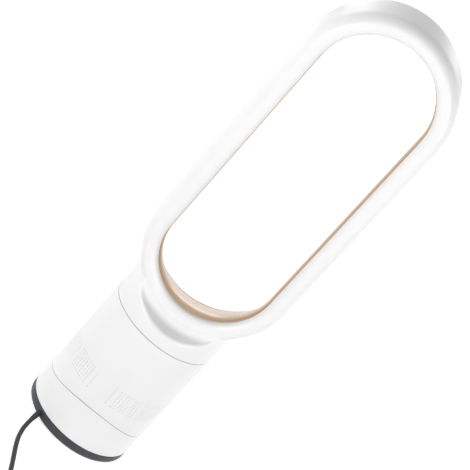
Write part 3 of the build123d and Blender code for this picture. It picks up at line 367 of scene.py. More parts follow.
PAINTS = {
    "shell_white": dict(colour="shell", roughness=0.34, grain=1500.0, depth=0.05, ripple=0.03, wear=0.3,
                        Coat_Weight=0.25, Coat_Roughness=0.18),
    "band_gold": dict(colour="band", roughness=0.30, metallic=0.6, grain=2600.0, depth=0.08, ripple=0.03,
                      tone=0.05, wear=0.3, Coat_Weight=0.15, Coat_Roughness=0.2),
    "foot_grey": dict(colour="foot", roughness=0.46, grain=1400.0, depth=0.35, ripple=0.03, tone=0.08,
                      wear=0.5, Specular_IOR_Level=0.35),
    "jacket_grey": dict(colour="jacket", roughness=0.50, grain=2200.0, depth=0.30, ripple=0.10, tone=0.10,
                        wear=0.4, Specular_IOR_Level=0.35),
    "strap_black": dict(colour=(0.02, 0.02, 0.022), roughness=0.85, relief=(woven, 260.0, 0.6), tone=0.15,
                        Sheen_Weight=0.3),
    "gauze_white": dict(colour=(0.85, 0.85, 0.85), roughness=0.8, relief=(woven, 400.0, 0.3)),
    "digit_light": dict(colour=(0.75, 0.78, 0.8), roughness=0.4, grain=3000.0,
                        Emission_Color=(0.85, 0.93, 1.0, 1), Emission_Strength=0.9),
    "soft_rubber": dict(colour=(0.018, 0.018, 0.019), roughness=0.78, grain=2600.0, depth=0.4, tone=0.25),
    "mount_rubber": dict(colour=(0.045, 0.045, 0.047), roughness=0.70, grain=2400.0, depth=0.35, tone=0.2),
    "acetal": dict(colour=(0.72, 0.70, 0.64), roughness=0.38, grain=1200.0, depth=0.08, tone=0.04,
                   Specular_IOR_Level=0.45, Sheen_Weight=0.05),
    "inner_grey": dict(colour=(0.30, 0.31, 0.33), roughness=0.50, grain=1300.0, depth=0.25, tone=0.06),
    "rotor_plastic": dict(colour=(0.055, 0.06, 0.07), roughness=0.42, grain=1900.0, depth=0.45, tone=0.18,
                          dust=(0.30, 0.29, 0.27)),
    "steel": dict(colour=(0.56, 0.56, 0.58), roughness=0.30, metallic=1.0,
                  relief=(brushed_lines, 1500.0, 0.25), gloss_spread=0.15),
    "bearing_steel": dict(colour=(0.63, 0.63, 0.64), roughness=0.20, metallic=1.0,
                          relief=(brushed_lines, 2600.0, 0.15), gloss_spread=0.08),
    "motor_steel": dict(colour=(0.42, 0.42, 0.44), roughness=0.38, metallic=1.0,
                        relief=(brushed_lines, 900.0, 0.3), gloss_spread=0.15, tone=0.1),
    "circuit_board": dict(colour=(0.018, 0.10, 0.045), roughness=0.33, relief=(board_tracks, 120.0, 0.3),
                          Coat_Weight=0.4, Coat_Roughness=0.12),
    "window_tint": dict(colour=(0.010, 0.010, 0.012), roughness=0.12, grain=600.0, depth=0.02, ripple=0.02,
                        Coat_Weight=0.6, Coat_Roughness=0.04),
    "button_white": dict(colour=(0.78, 0.78, 0.79), roughness=0.40, grain=1800.0, Coat_Weight=0.1),
    "foam": dict(colour=(0.075, 0.075, 0.08), roughness=0.92, relief=(open_cells, 700.0, 1.0), tone=0.2,
                 Sheen_Weight=0.2),
    "pin_brass": dict(colour=(0.70, 0.55, 0.28), roughness=0.24, metallic=1.0,
                      relief=(brushed_lines, 1800.0, 0.15), gloss_spread=0.12),
}
SLOT_PAINTS = {"white_shell": "shell_white", "gold_band": "band_gold", "dark_shell": "foot_grey",
               "cord_jacket": "jacket_grey"}


def painted(slot):
    """The finish of one of the record's material slots, or the finish of that name."""
    name = SLOT_PAINTS.get(slot, slot)
    return finish(name, **PAINTS[name])


# ---- mesh helpers ----
def arc(centre, across, deep, start, sweep, steps):
    """Points of an ellipse arc between two angles in degrees."""
    turns = [radians(start + sweep * k / steps) for k in range(steps + 1)]
    return [(centre[0] + across * cos(turn), centre[1] + deep * sin(turn)) for turn in turns]


def curve_of_three(start, pull, end, steps):
    """Points of a curve from start to end that one pull point bends."""
    points = []
    for k in range(steps + 1):
        t = k / steps
        points.append(tuple((1 - t) ** 2 * a + 2 * t * (1 - t) * b + t * t * c
                            for a, b, c in zip(start, pull, end)))
    return points


def corners_and_edges(items):
    """The vertices and the edges among what an operator gives back."""
    return ([item for item in items if isinstance(item, bmesh.types.BMVert)],
            [item for item in items if isinstance(item, bmesh.types.BMEdge)])


def extruded(mesh, edges):
    return corners_and_edges(bmesh.ops.extrude_edge_only(mesh, edges=edges)["geom"])


def closed_outline(mesh, points):
    """A ring of vertices and edges through the points."""
    corners = [mesh.verts.new(point) for point in points]
    return corners, [mesh.edges.new(pair) for pair in zip(corners, corners[1:] + corners[:1])]


def placed_grid(wide, high, place_of):
    """A grid with each corner where place_of puts its column and row, in millimetres."""
    mesh = bmesh.new()
    bmesh.ops.create_grid(mesh, x_segments=wide, y_segments=high, size=0.5)
    for corner in mesh.verts:
        column, row = round((corner.co.x + 0.5) * wide), round((corner.co.y + 0.5) * high)
        corner.co = place_of(column, row) * MM
    return mesh


def face_outwards(mesh):
    bmesh.ops.recalc_face_normals(mesh, faces=mesh.faces)


def soften(mesh, width, limit=35.0, segments=3, only=None):
    """Rounds every edge sharper than the limit."""
    mesh.normal_update()
    sharp = [edge for edge in mesh.edges if edge.is_manifold and edge.calc_face_angle() > radians(limit)
             and (only is None or only(edge))]
    bmesh.ops.bevel(mesh, geom=sharp, affect="EDGES", offset=width, offset_type="OFFSET",
                    segments=segments, profile=0.5, material=-1, clamp_overlap=True)


def add_object(name, data):
    made = bpy.data.objects.new(name, data)
    bpy.context.scene.collection.objects.link(made)
    return made


def piece(name, mesh, body, slot, replaced=(), paint=None, limit=40.0):
    """Turns a finished mesh into an object that rides on a body and stands for the nodes it replaces.

    Edges that turn by more than the limit in degrees stay sharp in the shading.
    """
    bmesh.ops.remove_doubles(mesh, verts=mesh.verts, dist=1e-6)
    bmesh.ops.dissolve_degenerate(mesh, edges=mesh.edges, dist=1e-7)
    face_outwards(mesh)
    mesh.normal_update()
    for face in mesh.faces:
        face.smooth = True
    for edge in mesh.edges:
        edge.smooth = not edge.is_manifold or edge.calc_face_angle() < radians(limit)
    data = bpy.data.meshes.new(name)
    mesh.to_mesh(data)
    mesh.free()
    data.materials.append(painted(paint or slot))
    made = add_object(name, data)
    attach(made, body)
    if replaced:
        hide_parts(*replaced)
    return made


def spun(points, steps=160):
    """A mesh that a closed outline of (radius, height) millimetres sweeps about the upright axis."""
    mesh = bmesh.new()
    corners, edges = closed_outline(mesh, [(radius * MM, 0, height * MM) for radius, height in points])
    bmesh.ops.spin(mesh, geom=corners + edges, cent=(0, 0, 0), axis=(0, 0, 1), angle=2 * pi,
                   steps=steps, use_merge=True)
    bmesh.ops.remove_doubles(mesh, verts=mesh.verts, dist=1e-6)
    face_outwards(mesh)
    return mesh


def round_the_loop(points, steps):
    """A mesh that a closed (half width, depth) outline in millimetres sweeps once round the oval."""
    mesh = bmesh.new()
    low, high = LOOP_LOW * MM, (LOOP_LOW + LOOP_STRAIGHT) * MM
    corners, edges = closed_outline(mesh, [(across * MM, deep * MM, low) for across, deep in points])
    turned = bmesh.ops.spin(mesh, geom=corners + edges, cent=(0, 0, low), axis=(0, 1, 0), angle=pi,
                            steps=steps)["geom_last"]
    for way in (1, -1):
        corners, edges = extruded(mesh, corners_and_edges(turned)[1])
        bmesh.ops.translate(mesh, verts=corners, vec=(0, 0, way * LOOP_STRAIGHT * MM))
        if way > 0:
            turned = bmesh.ops.spin(mesh, geom=corners + edges, cent=(0, 0, high), axis=(0, 1, 0),
                                    angle=pi, steps=steps)["geom_last"]
    bmesh.ops.remove_doubles(mesh, verts=mesh.verts, dist=2e-6)
    face_outwards(mesh)
    return mesh


def saddle(deep, drum):
    """Height of the saddle seam at a place along Y, on a drum of that radius about the tilt axis."""
    return TILT_HEIGHT - sqrt(drum ** 2 - deep ** 2)


# ---- foot ----
class FAN_OT_foot(bpy.types.Operator):
    """Dark dish of the foot"""
    bl_idname = "fan.foot"
    bl_label = "Foot"

    def execute(self, context):
        dish = spun([
            (0, FOOT_LOW), (69.8, FOOT_LOW), (72.4, 2.4), (74.3, 4.3), (75, 6.6), (75, FOOT_TOP),
            (INNER_RADIUS, FOOT_TOP), (INNER_RADIUS, 3.7), (61.5, 3.7), (61.5, 13.4), (58.5, 13.4),
            (58.5, 3.7), (32, 3.7), (32, 6), (24, 6), (24, 3.7), (14, 3.7), (14, 19), (10, 19),
            (10, 3.7), (0, 3.7)])
        soften(dish, sizes().edge)
        piece("foot_dish_shell", dish, "foot", "dark_shell", ["foot_dish"])
        return {"FINISHED"}


# ---- turning base ----
BUTTON_PLACES = (-21.0, -7.0, 7.0, 21.0)
BUTTON_HEIGHT = 36.0
BUTTON_HOLE = 4.5
BUTTON_SIDES = 32
BUTTON_CELL = 7.0
DISPLAY_LOW = 47.5
DISPLAY_HIGH = 58.5
DISPLAY_RIM = 0.8
DISPLAY_ROOM = 2.5
BASE_COLUMNS = 128
BASE_DRUM = TILT_RADIUS + SEAM / 2
BODY_DRUM = TILT_RADIUS - SEAM / 2
TRIM_DRUM = BODY_DRUM + 0.1


def skin_grid(columns, rows, height_of):
    """A skin at the body's radius: columns are directions in radians, and height_of gives each row."""
    def place_of(column, row):
        turn = columns[column % len(columns)]
        deep = BODY_RADIUS * sin(turn)
        return Vector((BODY_RADIUS * cos(turn), deep, height_of(row, deep)))

    mesh = placed_grid(len(columns), rows - 1, place_of)
    bmesh.ops.remove_doubles(mesh, verts=mesh.verts, dist=1e-6)
    face_outwards(mesh)
    return mesh


def round_hole(mesh, face, radius, sides):
    """Makes the middle of a four-sided face round, with a multiple of four sides."""
    centre = face.calc_center_median()
    outward = Vector((centre.x, centre.y, 0)).normalized()
    side = Vector((-outward.y, outward.x, 0))
    bmesh.ops.inset_individual(mesh, faces=[face], thickness=radius * 0.5 * MM)
    bmesh.ops.subdivide_edges(mesh, edges=list(face.edges), cuts=sides // 4 - 1)
    for loop in face.loops:
        offset = loop.vert.co - centre
        turn = atan2(offset.z, offset.dot(side))
        turn = round((turn - pi / 4) / (2 * pi / sides)) * 2 * pi / sides + pi / 4
        across = side * cos(turn) * radius * MM
        flat = outward * sqrt((BODY_RADIUS * MM) ** 2 - across.length_squared) + across
        loop.vert.co = Vector((flat.x, flat.y, centre.z + sin(turn) * radius * MM))


def thicken(mesh, thickness):
    """Gives a skin its wall, inwards."""
    face_outwards(mesh)
    mesh.normal_update()
    middle = mesh.faces[:][0]
    centre = middle.calc_center_median()
    if middle.normal.dot(Vector((centre.x, centre.y, 0))) < 0:
        bmesh.ops.reverse_faces(mesh, faces=mesh.faces)
    bmesh.ops.solidify(mesh, geom=mesh.faces[:], thickness=thickness)


class FAN_OT_base(bpy.types.Operator):
    """White turning base with the openings for its controls"""
    bl_idname = "fan.base"
    bl_label = "Base"

    def execute(self, context):
        columns = [-pi / 2 + asin(cell * BUTTON_CELL / BODY_RADIUS) for cell in (-4, -2, 0, 2, 4)]
        rest = 2 * pi - (columns[-1] - columns[0])
        columns += [columns[-1] + rest * k / BASE_COLUMNS for k in range(1, BASE_COLUMNS)]
        rows = [BASE_LOW, BUTTON_HEIGHT - BUTTON_CELL, BUTTON_HEIGHT + BUTTON_CELL, DISPLAY_LOW,
                DISPLAY_HIGH]

        def height_of(row, y):
            top = saddle(y, BASE_DRUM)
            if row == len(rows):
                return top
            if row < 3:
                return rows[row]
            room = (top - DISPLAY_ROOM - rows[2]) / (DISPLAY_HIGH - rows[2])
            return rows[2] + (rows[row] - rows[2]) * min(1.0, room)

        mesh = skin_grid(columns, len(rows) + 1, height_of)
        opened = []
        for face in mesh.faces[:]:
            centre = face.calc_center_median() / MM
            if centre.y < 0 and abs(centre.z - BUTTON_HEIGHT) < 1 and abs(centre.x) < 4 * BUTTON_CELL:
                round_hole(mesh, face, BUTTON_HOLE, BUTTON_SIDES)
                opened.append(face)
        middles = {face: face.calc_center_median() / MM for face in mesh.faces}
        window = [face for face, middle in middles.items() if middle.y < 0
                  and abs(middle.x) < 2 * BUTTON_CELL and DISPLAY_LOW < middle.z < DISPLAY_HIGH]
        bmesh.ops.inset_region(mesh, faces=window, thickness=DISPLAY_RIM * MM, use_even_offset=True)
        bmesh.ops.delete(mesh, geom=opened + window, context="FACES")
        thicken(mesh, WALL * MM)
        for corner in mesh.verts:
            place = corner.co / MM
            corner.co.z = min(place.z, saddle(place.y, TRIM_DRUM)) * MM
        soften(mesh, sizes().edge, limit=50)
        piece("base_skin", mesh, "turning_base", "white_shell", ["base_shell"])
        return {"FINISHED"}


# ---- controls ----
CAP_FACE = 74.9
SKIN_DEPTH = 70.0
PANE_STEPS = 24
PANE_WIDE = 26.2
PANE_HIGH = 9.2
PANE_WALL = 2.2
MARK_WIDTH = 0.42
MARK_LEVEL = CAP_FACE + 0.05
DIGIT_LEVEL = CAP_FACE + 0.04
DIGIT_PLACE = 53.0
DIGIT_APART = 2.6
DIGIT_HIGH = 5.0
DIGIT_WIDE = 2.7
DIGIT_LEAN = 0.08
DIGIT_GAP = 0.32
DIGITS = {"0": "abcdef", "5": "acdfg"}


def onto_skin(mesh, level):
    """Bends what lies out at the skin, so that it follows the body's round face."""
    for corner in mesh.verts:
        if -corner.co.y > SKIN_DEPTH * MM:
            corner.co.y += level * MM - sqrt((level * MM) ** 2 - corner.co.x ** 2)


def ribbon(mesh, path, width, level):
    """A flat strip of even width, faced to the front, along a path of (across, up) millimetres."""
    rails = []
    for k, spot in enumerate(path):
        near, far = path[max(k - 1, 0)], path[min(k + 1, len(path) - 1)]
        along = Vector((far[0] - near[0], far[1] - near[1])).normalized()
        before = Vector((spot[0] - near[0], spot[1] - near[1]))
        spread = 1 / max(0.4, abs(along.dot(before.normalized()))) if k else 1
        offset = Vector((-along.y, along.x)) * width / 2 * spread
        rails.append([Vector(((spot[0] + side * offset.x), -level, spot[1] + side * offset.y)) * MM
                      for side in (1, -1)])
    ends = [mesh.verts.new(place) for place in rails[0]]
    edge = mesh.edges.new(ends)
    for rail in rails[1:]:
        corners, edges = extruded(mesh, [edge])
        edge = edges[0]
        corners.sort(key=lambda corner: (corner.co - ends[0].co).length)
        for corner, place in zip(corners, rail):
            corner.co = place
        ends = corners


def marks(name, strokes, width, level, body, slot, paint=None, proud=0.12):
    """Thin raised strokes that follow the round front."""
    mesh = bmesh.new()
    for stroke in strokes:
        ribbon(mesh, stroke, width, level)
    onto_skin(mesh, level)
    face_outwards(mesh)
    mesh.normal_update()
    turned = [face for face in mesh.faces if face.normal.y > 0]
    bmesh.ops.reverse_faces(mesh, faces=turned)
    bmesh.ops.solidify(mesh, geom=mesh.faces[:], thickness=proud * MM)
    return piece(name, mesh, body, slot, paint=paint, limit=30)


def segment_strokes(digit, across):
    """The lit strokes of a seven-segment digit, which leans a little, round its middle."""
    wide, high, gap = DIGIT_WIDE / 2, DIGIT_HIGH / 2, DIGIT_GAP
    spots = {"a": ((-wide + gap, high), (wide - gap, high)), "b": ((wide, high - gap), (wide, gap)),
             "c": ((wide, -gap), (wide, gap - high)), "d": ((-wide + gap, -high), (wide - gap, -high)),
             "e": ((-wide, -gap), (-wide, gap - high)), "f": ((-wide, high - gap), (-wide, gap)),
             "g": ((-wide + gap, 0), (wide - gap, 0))}
    return [[(x + across + DIGIT_LEAN * y, y + DIGIT_PLACE) for x, y in spots[part]]
            for part in DIGITS[digit]]


class FAN_OT_controls(bpy.types.Operator):
    """Four push buttons with their marks, and the display"""
    bl_idname = "fan.controls"
    bl_label = "Controls"

    def execute(self, context):
        ring = arc((0, 0), 1.45, 1.45, 125, 290, 26)
        keys = {
            "power": [ring, [(0, 0.35), (0, 1.95)]],
            "airflow_down": [[(-1.5, 0), (1.5, 0)]],
            "airflow_up": [[(-1.5, 0), (1.5, 0)], [(0, 0.24), (0, 1.5)], [(0, -0.24), (0, -1.5)]],
            "swing": [[(side * 0.75, 1.25), (side * 1.95, 0), (side * 0.75, -1.25)] for side in (-1, 1)]}
        for (key, strokes), across in zip(keys.items(), BUTTON_PLACES):
            self.cap(key, across)
            placed = [[(x + across, z + BUTTON_HEIGHT) for x, z in stroke] for stroke in strokes]
            marks(key + "_mark", placed, MARK_WIDTH, MARK_LEVEL, key + "_key", "inner_grey")
        self.window()
        strokes = segment_strokes("0", -DIGIT_APART) + segment_strokes("5", DIGIT_APART)
        marks("display_digits", strokes, 0.5, DIGIT_LEVEL, "turning_base", "button_white",
              paint="digit_light", proud=0.1)
        return {"FINISHED"}

    def cap(self, key, across):
        """Push cap with a flange behind and a slightly hollowed face."""
        mesh = spun([
            (0, 64.2), (4.2, 64.2), (4.2, 65.2), (5.6, 65.2), (5.6, 67.2), (4.2, 67.2),
            (4.2, CAP_FACE - 0.5), (4.12, CAP_FACE - 0.22), (3.95, CAP_FACE - 0.06), (3.7, CAP_FACE),
            (2.6, CAP_FACE - 0.03), (1.2, CAP_FACE - 0.05), (0, CAP_FACE - 0.05)], steps=64)
        bmesh.ops.rotate(mesh, verts=mesh.verts, cent=(0, 0, 0), matrix=Matrix.Rotation(pi / 2, 3, "X"))
        bmesh.ops.translate(mesh, verts=mesh.verts, vec=Vector((across, 0, BUTTON_HEIGHT)) * MM)
        onto_skin(mesh, CAP_FACE)
        piece(key + "_cap", mesh, key + "_key", "button_white", [key + "_button"])

    def window(self):
        """Dark pane that follows the round front."""
        def place_of(column, row):
            across = (column / PANE_STEPS - 0.5) * PANE_WIDE
            deep = sqrt(CAP_FACE ** 2 - across ** 2)
            return Vector((across, -deep, DIGIT_PLACE + (row - 0.5) * PANE_HIGH))

        mesh = placed_grid(PANE_STEPS, 1, place_of)
        thicken(mesh, PANE_WALL * MM)
        soften(mesh, 0.25 * MM, limit=50)
        piece("display_pane", mesh, "turning_base", "window_tint", ["display_window"])


# ---- body with its holes ----
FIELDS = 12
FIELD_AXIS = 81.0
HOLE_COLUMNS = 8
COLUMN_TURN = 3.4
HOLE_ROWS = 7
HOLE_PITCH = 4.3
HOLE_LOW = 88.5
HOLE_RADIUS = 0.65
HOLE_SIDES = 12
LOW_ROWS = 3
HIGH_ROWS = 5
SKIN = 1.4
RIM_REACH = 0.3
GAUZE_LOW = 83.5
GAUZE_HIGH = 119.5
GAUZE_GAP = 0.05
GAUZE_WALL = 0.3


class FAN_OT_body(bpy.types.Operator):
    """White body skin with its fields of small inlet holes"""
    bl_idname = "fan.body"
    bl_label = "Body"

    def execute(self, context):
        field_turn = COLUMN_TURN * HOLE_COLUMNS
        gap = 360 / FIELDS - field_turn
        columns = []
        for field in range(FIELDS):
            start = FIELD_AXIS + 360 * field / FIELDS - field_turn / 2
            columns += [radians(start + COLUMN_TURN * k) for k in range(HOLE_COLUMNS + 1)]
            columns.append(radians(start + field_turn + gap / 2))
        low = HOLE_LOW - HOLE_PITCH / 2
        fixed = [low + HOLE_PITCH * k for k in range(HOLE_ROWS + 1)]
        high = fixed[-1]
        fixed += [high + (SHROUD_TOP - high) * k / HIGH_ROWS for k in range(1, HIGH_ROWS + 1)]

        def height_of(row, y):
            bottom = saddle(y, BODY_DRUM)
            if row < LOW_ROWS:
                return bottom + (low - bottom) * row / LOW_ROWS
            return fixed[row - LOW_ROWS]

        mesh = skin_grid(columns, len(fixed) + LOW_ROWS, height_of)
        holes = []
        for face in mesh.faces[:]:
            centre = face.calc_center_median() / MM
            row = (centre.z - HOLE_LOW) / HOLE_PITCH
            turn = (degrees(atan2(centre.y, centre.x)) - FIELD_AXIS + field_turn / 2) % 360
            column = turn % (360 / FIELDS) / COLUMN_TURN
            if -0.4 < row < HOLE_ROWS - 0.6 and column < HOLE_COLUMNS and (
                    turn > 360 / FIELDS or int(column) in (0, HOLE_COLUMNS - 1)):
                holes.append(face)
        for face in holes:
            round_hole(mesh, face, HOLE_RADIUS, HOLE_SIDES)
        bmesh.ops.delete(mesh, geom=holes, context="FACES")
        thicken(mesh, SKIN * MM)
        soften(mesh, sizes().edge, limit=50, only=lambda edge: min(
            abs(corner.co.z / MM - rim) for corner in edge.verts
            for rim in (SHROUD_TOP, saddle(corner.co.y / MM, BODY_DRUM))) < RIM_REACH)
        piece("body_skin", mesh, "fan_body", "white_shell", ["inlet_shroud"])
        near, far = BODY_RADIUS - SKIN - GAUZE_GAP, BODY_RADIUS - SKIN - GAUZE_GAP - GAUZE_WALL
        screen = spun([(near, GAUZE_LOW), (near, GAUZE_HIGH), (far, GAUZE_HIGH), (far, GAUZE_LOW)])
        piece("dust_gauze", screen, "fan_body", "white_shell", paint="gauze_white")
        return {"FINISHED"}


# ---- loop ----
FRONT_RIM = 5.0


def casing_outline():
    """White skin of the loop, from the front rim round the rear bulge to the slot's lip, and back."""
    front, rim = LOOP_FRONT, FRONT_RIM
    centre = (LOOP_RADIUS - rim, front + rim)
    lip = BULGE_RADIUS - LIP_RADIUS
    outside = [(BAND_FRONT, front + 0.5), (BAND_FRONT + 0.15, front + 0.15), (BAND_FRONT + 0.5, front)]
    outside += arc(centre, rim, rim, -90, 90, 10)
    outside += [(LOOP_RADIUS, front + rim + (BULGE_PLACE - front - rim) * k / 4) for k in range(1, 4)]
    outside += arc((BULGE_RADIUS, BULGE_PLACE), BULGE_WIDTH, BULGE_DEPTH, 0, 90, 20)
    outside += arc((BULGE_RADIUS, LIP_PLACE), lip, LIP_DEPTH, 90, 90, 14)[1:]
    outside += [(LIP_RADIUS + near, LIP_END + far) for near, far in ((0, 0.6), (0.2, 0.2), (0.6, 0))]
    inside = [(LIP_RADIUS + LIP_WALL, LIP_END)]
    inside += arc((BULGE_RADIUS, LIP_PLACE), lip - LIP_WALL, LIP_DEPTH - WALL, 180, -90, 8)
    inside += arc((BULGE_RADIUS, BULGE_PLACE), BULGE_WIDTH - WALL, BULGE_DEPTH - WALL, 90, -90, 10)[1:]
    inside += arc(centre, rim - WALL, rim - WALL, 0, -90, 5)
    inside += [(BAND_FRONT, front + WALL)]
    return outside + inside


def band_outline():
    """Gold band: a rounded nose at the slot, then a flare to the front rim."""
    nose = BAND_NOSE + NOSE_WIDTH
    bend = 0.27 * (NOSE_PLACE - BAND_END)
    outside = arc((nose, NOSE_PLACE), NOSE_WIDTH, NOSE_DEPTH, 90, 90, 18)
    outside += curve_of_three((BAND_NOSE, NOSE_PLACE), (BAND_NOSE, NOSE_PLACE - bend),
                              (BAND_FRONT, BAND_END), 18)[1:]
    back = BAND_NOSE + BAND_WALL
    inside = curve_of_three((BAND_FRONT + BAND_WALL, BAND_END), (back, NOSE_PLACE - bend),
                            (back, NOSE_PLACE), 10)
    inside += arc((nose, NOSE_PLACE), NOSE_WIDTH - BAND_WALL, NOSE_DEPTH - BAND_WALL, 180, -90, 9)[1:]
    return outside + inside


class FAN_OT_loop(bpy.types.Operator):
    """White loop and the gold band inside it"""
    bl_idname = "fan.loop"
    bl_label = "Loop"

    def execute(self, context):
        steps = sizes().loop_steps
        casing = round_the_loop(casing_outline(), steps)
        piece("loop_casing", casing, "fan_body", "white_shell", ["nozzle_casing"])
        band = round_the_loop(band_outline(), steps)
        piece("loop_band", band, "fan_body", "gold_band", ["inner_band"])
        return {"FINISHED"}


# ---- collar ----
BLEND_TURN = 81.5
FRONT_BLEND = 8.0
FRONT_SLOPE = 18.4
CREASE = 6.5
CREASE_STEPS = 8
COLLAR_RIM = 0.4
COLLAR_WALL = 4.0
HALF_COLUMNS = 64
HALVINGS = 24
BURIED = 1.4
SLICE_STEPS = 22


def rear_path():
    """From the rear bulge out along the concave blend and the shelf: (radius, distance) pairs."""
    turn = radians(BLEND_TURN)
    lean = (cos(turn) / BULGE_WIDTH, sin(turn) / BULGE_DEPTH)
    size = hypot(*lean)
    lean = (lean[0] / size, lean[1] / size)
    touch = (BULGE_RADIUS + BULGE_WIDTH * cos(turn), BULGE_PLACE + BULGE_DEPTH * sin(turn))
    radius = (LOOP_RADIUS - touch[0]) / (1 + lean[0])
    centre = (touch[0] + radius * lean[0], touch[1] + radius * lean[1])
    start = degrees(atan2(touch[1] - centre[1], touch[0] - centre[0]))
    blend = arc(centre, radius, radius, start, -start, 12)
    return [(touch[0], touch[1] - BURIED)] + blend + [(LOOP_RADIUS, 2 * BODY_RADIUS)]


def front_path():
    """The same at the front, where the shelf falls away from the loop."""
    centre = (LOOP_RADIUS - FRONT_BLEND, FRONT_BLEND - LOOP_FRONT)
    blend = arc(centre, FRONT_BLEND, FRONT_BLEND, -90, 90 - FRONT_SLOPE, 12)
    fall = radians(FRONT_SLOPE)
    far = (blend[-1][0] + BODY_RADIUS * sin(fall), blend[-1][1] + BODY_RADIUS * cos(fall))
    return [(centre[0], -LOOP_FRONT - BURIED)] + blend + [far]


def between(near, far, share):
    return tuple(a + (b - a) * share for a, b in zip(near, far))


def inside_body(path, turn):
    """The part of a path inside the body's cylinder, on a slice at a turn about the loop's centre."""
    def room(spot):
        return BODY_RADIUS ** 2 - (spot[0] * sin(turn)) ** 2 - spot[1] ** 2

    if room(path[0]) <= 0:
        return [(path[0][0], sqrt(max(room((path[0][0], 0)), 0)))]
    kept = [path[0]]
    for near, far in zip(path, path[1:]):
        if room(far) > 0:
            kept.append(far)
            continue
        low, high = 0.0, 1.0
        for _ in range(HALVINGS):
            middle = (low + high) / 2
            low, high = (middle, high) if room(between(near, far, middle)) > 0 else (low, middle)
        return kept + [between(near, far, low)]
    return kept


def stepped(path, shares):
    """Points at shares of a path's length."""
    sizes_of = [hypot(far[0] - near[0], far[1] - near[1]) for near, far in zip(path, path[1:])]
    points = []
    for share in shares:
        left = share * sum(sizes_of)
        spot = path[-1]
        for near, far, size in zip(path, path[1:], sizes_of):
            if left <= size:
                spot = between(near, far, left / size if size else 0)
                break
            left -= size
        points.append(spot)
    return points


def collar_column(turn, path, side):
    """One upright slice of the collar at a turn about the loop's middle: behind (1) or ahead (-1)."""
    def point(spot):
        return Vector((spot[0] * sin(turn), side * spot[1], LOOP_LOW - spot[0] * cos(turn)))

    kept = inside_body(path, turn)
    length = sum(hypot(far[0] - near[0], far[1] - near[1]) for near, far in zip(kept, kept[1:]))
    corner = point(kept[-1])
    soft = min(CREASE, 0.45 * length, corner.z - COLLAR_LOW - 1.5)
    reach = 1 - soft / length if length else 1
    shares = [reach * k / SLICE_STEPS for k in range(SLICE_STEPS + 1)]
    column = [point(spot) for spot in stepped(kept, shares)]
    start = column[-1]
    end = corner - Vector((0, 0, soft))
    column += [Vector(spot) for spot in curve_of_three(start, corner, end, CREASE_STEPS)[1:]]
    foot = Vector((corner.x, corner.y, COLLAR_LOW + COLLAR_RIM))
    column += [end.lerp(foot, k / 4) for k in range(1, 5)]
    out = Vector((corner.x, corner.y, 0)).normalized()
    column += [foot - Vector((0, 0, down)) - out * near
               for down, near in ((0.28, 0.12), (COLLAR_RIM, COLLAR_RIM))]
    low_inside = Vector((0, 0, COLLAR_LOW)) + out * INNER_RADIUS
    inward = min(1.0, INNER_RADIUS / hypot(column[0].x, column[0].y))
    top_inside = Vector((column[0].x * inward, column[0].y * inward, column[0].z - COLLAR_WALL))
    level = min(top_inside.z, corner.z - COLLAR_WALL)
    return column + [low_inside, Vector((low_inside.x, low_inside.y, level)),
                     Vector((top_inside.x, top_inside.y, level)), top_inside]


class FAN_OT_collar(bpy.types.Operator):
    """Collar that carries the body up into the loop"""
    bl_idname = "fan.collar"
    bl_label = "Collar"

    def execute(self, context):
        columns = []
        for path, side in ((rear_path(), 1), (front_path(), -1)):
            widest = asin(BODY_RADIUS / path[0][0])
            turns = [side * widest * sin(pi / 2 * k / HALF_COLUMNS)
                     for k in range(-HALF_COLUMNS, HALF_COLUMNS)]
            columns += [collar_column(turn, path, side) for turn in turns]
        wide, high = len(columns), len(columns[0])
        mesh = placed_grid(wide, high, lambda column, row: columns[column % wide][row % high])
        bmesh.ops.remove_doubles(mesh, verts=mesh.verts, dist=2e-5)
        piece("loop_collar", mesh, "fan_body", "white_shell", limit=55)
        return {"FINISHED"}


# ---- mains lead: its coil in metres, the rest in millimetres ----
COIL_RINGS = [(0.0430, 0.0030), (0.0368, 0.0030), (0.0308, 0.0030), (0.0249, 0.0030),
              (0.0278, 0.0082), (0.0337, 0.0082), (0.0399, 0.0082), (0.0368, 0.0134)]
COIL_STEPS = 14
RIB_PITCH = 3.1
TIE_TURN = radians(225)
TIE_HALF = 4.5
TIE_WALL = 0.7
PIN_APART = 6.35
PIN_SIZE = Vector((1.5, 18.0, 6.3))
PIN_MIDDLE = 44.0


def coil_points():
    """Seven and a half turns: four on the floor, three on top of them and the rest on those."""
    points = []
    for k in range(int((len(COIL_RINGS) - 0.5) * COIL_STEPS)):
        ring, step = divmod(k, COIL_STEPS)
        ahead = COIL_RINGS[min(ring + 1, len(COIL_RINGS) - 1)]
        ease = max(0.0, (step / COIL_STEPS - 0.7) / 0.3)
        radius, height = between(COIL_RINGS[ring], ahead, ease)
        turn = -0.05 + 2 * pi * k / COIL_STEPS
        points.append(COIL_CENTRE + Vector((radius * cos(turn), radius * sin(turn), height)))
    return points


def powered(value, power):
    return copysign(abs(value) ** power, value)


def lofted(sections, place, sides=40):
    """A closed mesh through sections towards -Y: distance, half width, half height, squareness."""
    mesh = bmesh.new()
    ring = bmesh.ops.create_circle(mesh, cap_ends=False, segments=sides, radius=1.0)["verts"]
    edges = mesh.edges[:]
    turns = [atan2(corner.co.y, corner.co.x) for corner in ring]
    for number, (along, wide, high, square) in enumerate(sections):
        if number:
            old = {tuple(corner.co): turn for corner, turn in zip(ring, turns)}
            ring, edges = extruded(mesh, edges)
            turns = [old[tuple(corner.co)] for corner in ring]
        for corner, turn in zip(ring, turns):
            across = wide * powered(cos(turn), 2 / square)
            up = high * powered(sin(turn), 2 / square)
            corner.co = place + Vector((across, -along, up)) * MM
    bmesh.ops.holes_fill(mesh, edges=[edge for edge in mesh.edges if edge.is_boundary], sides=0)
    face_outwards(mesh)
    return mesh


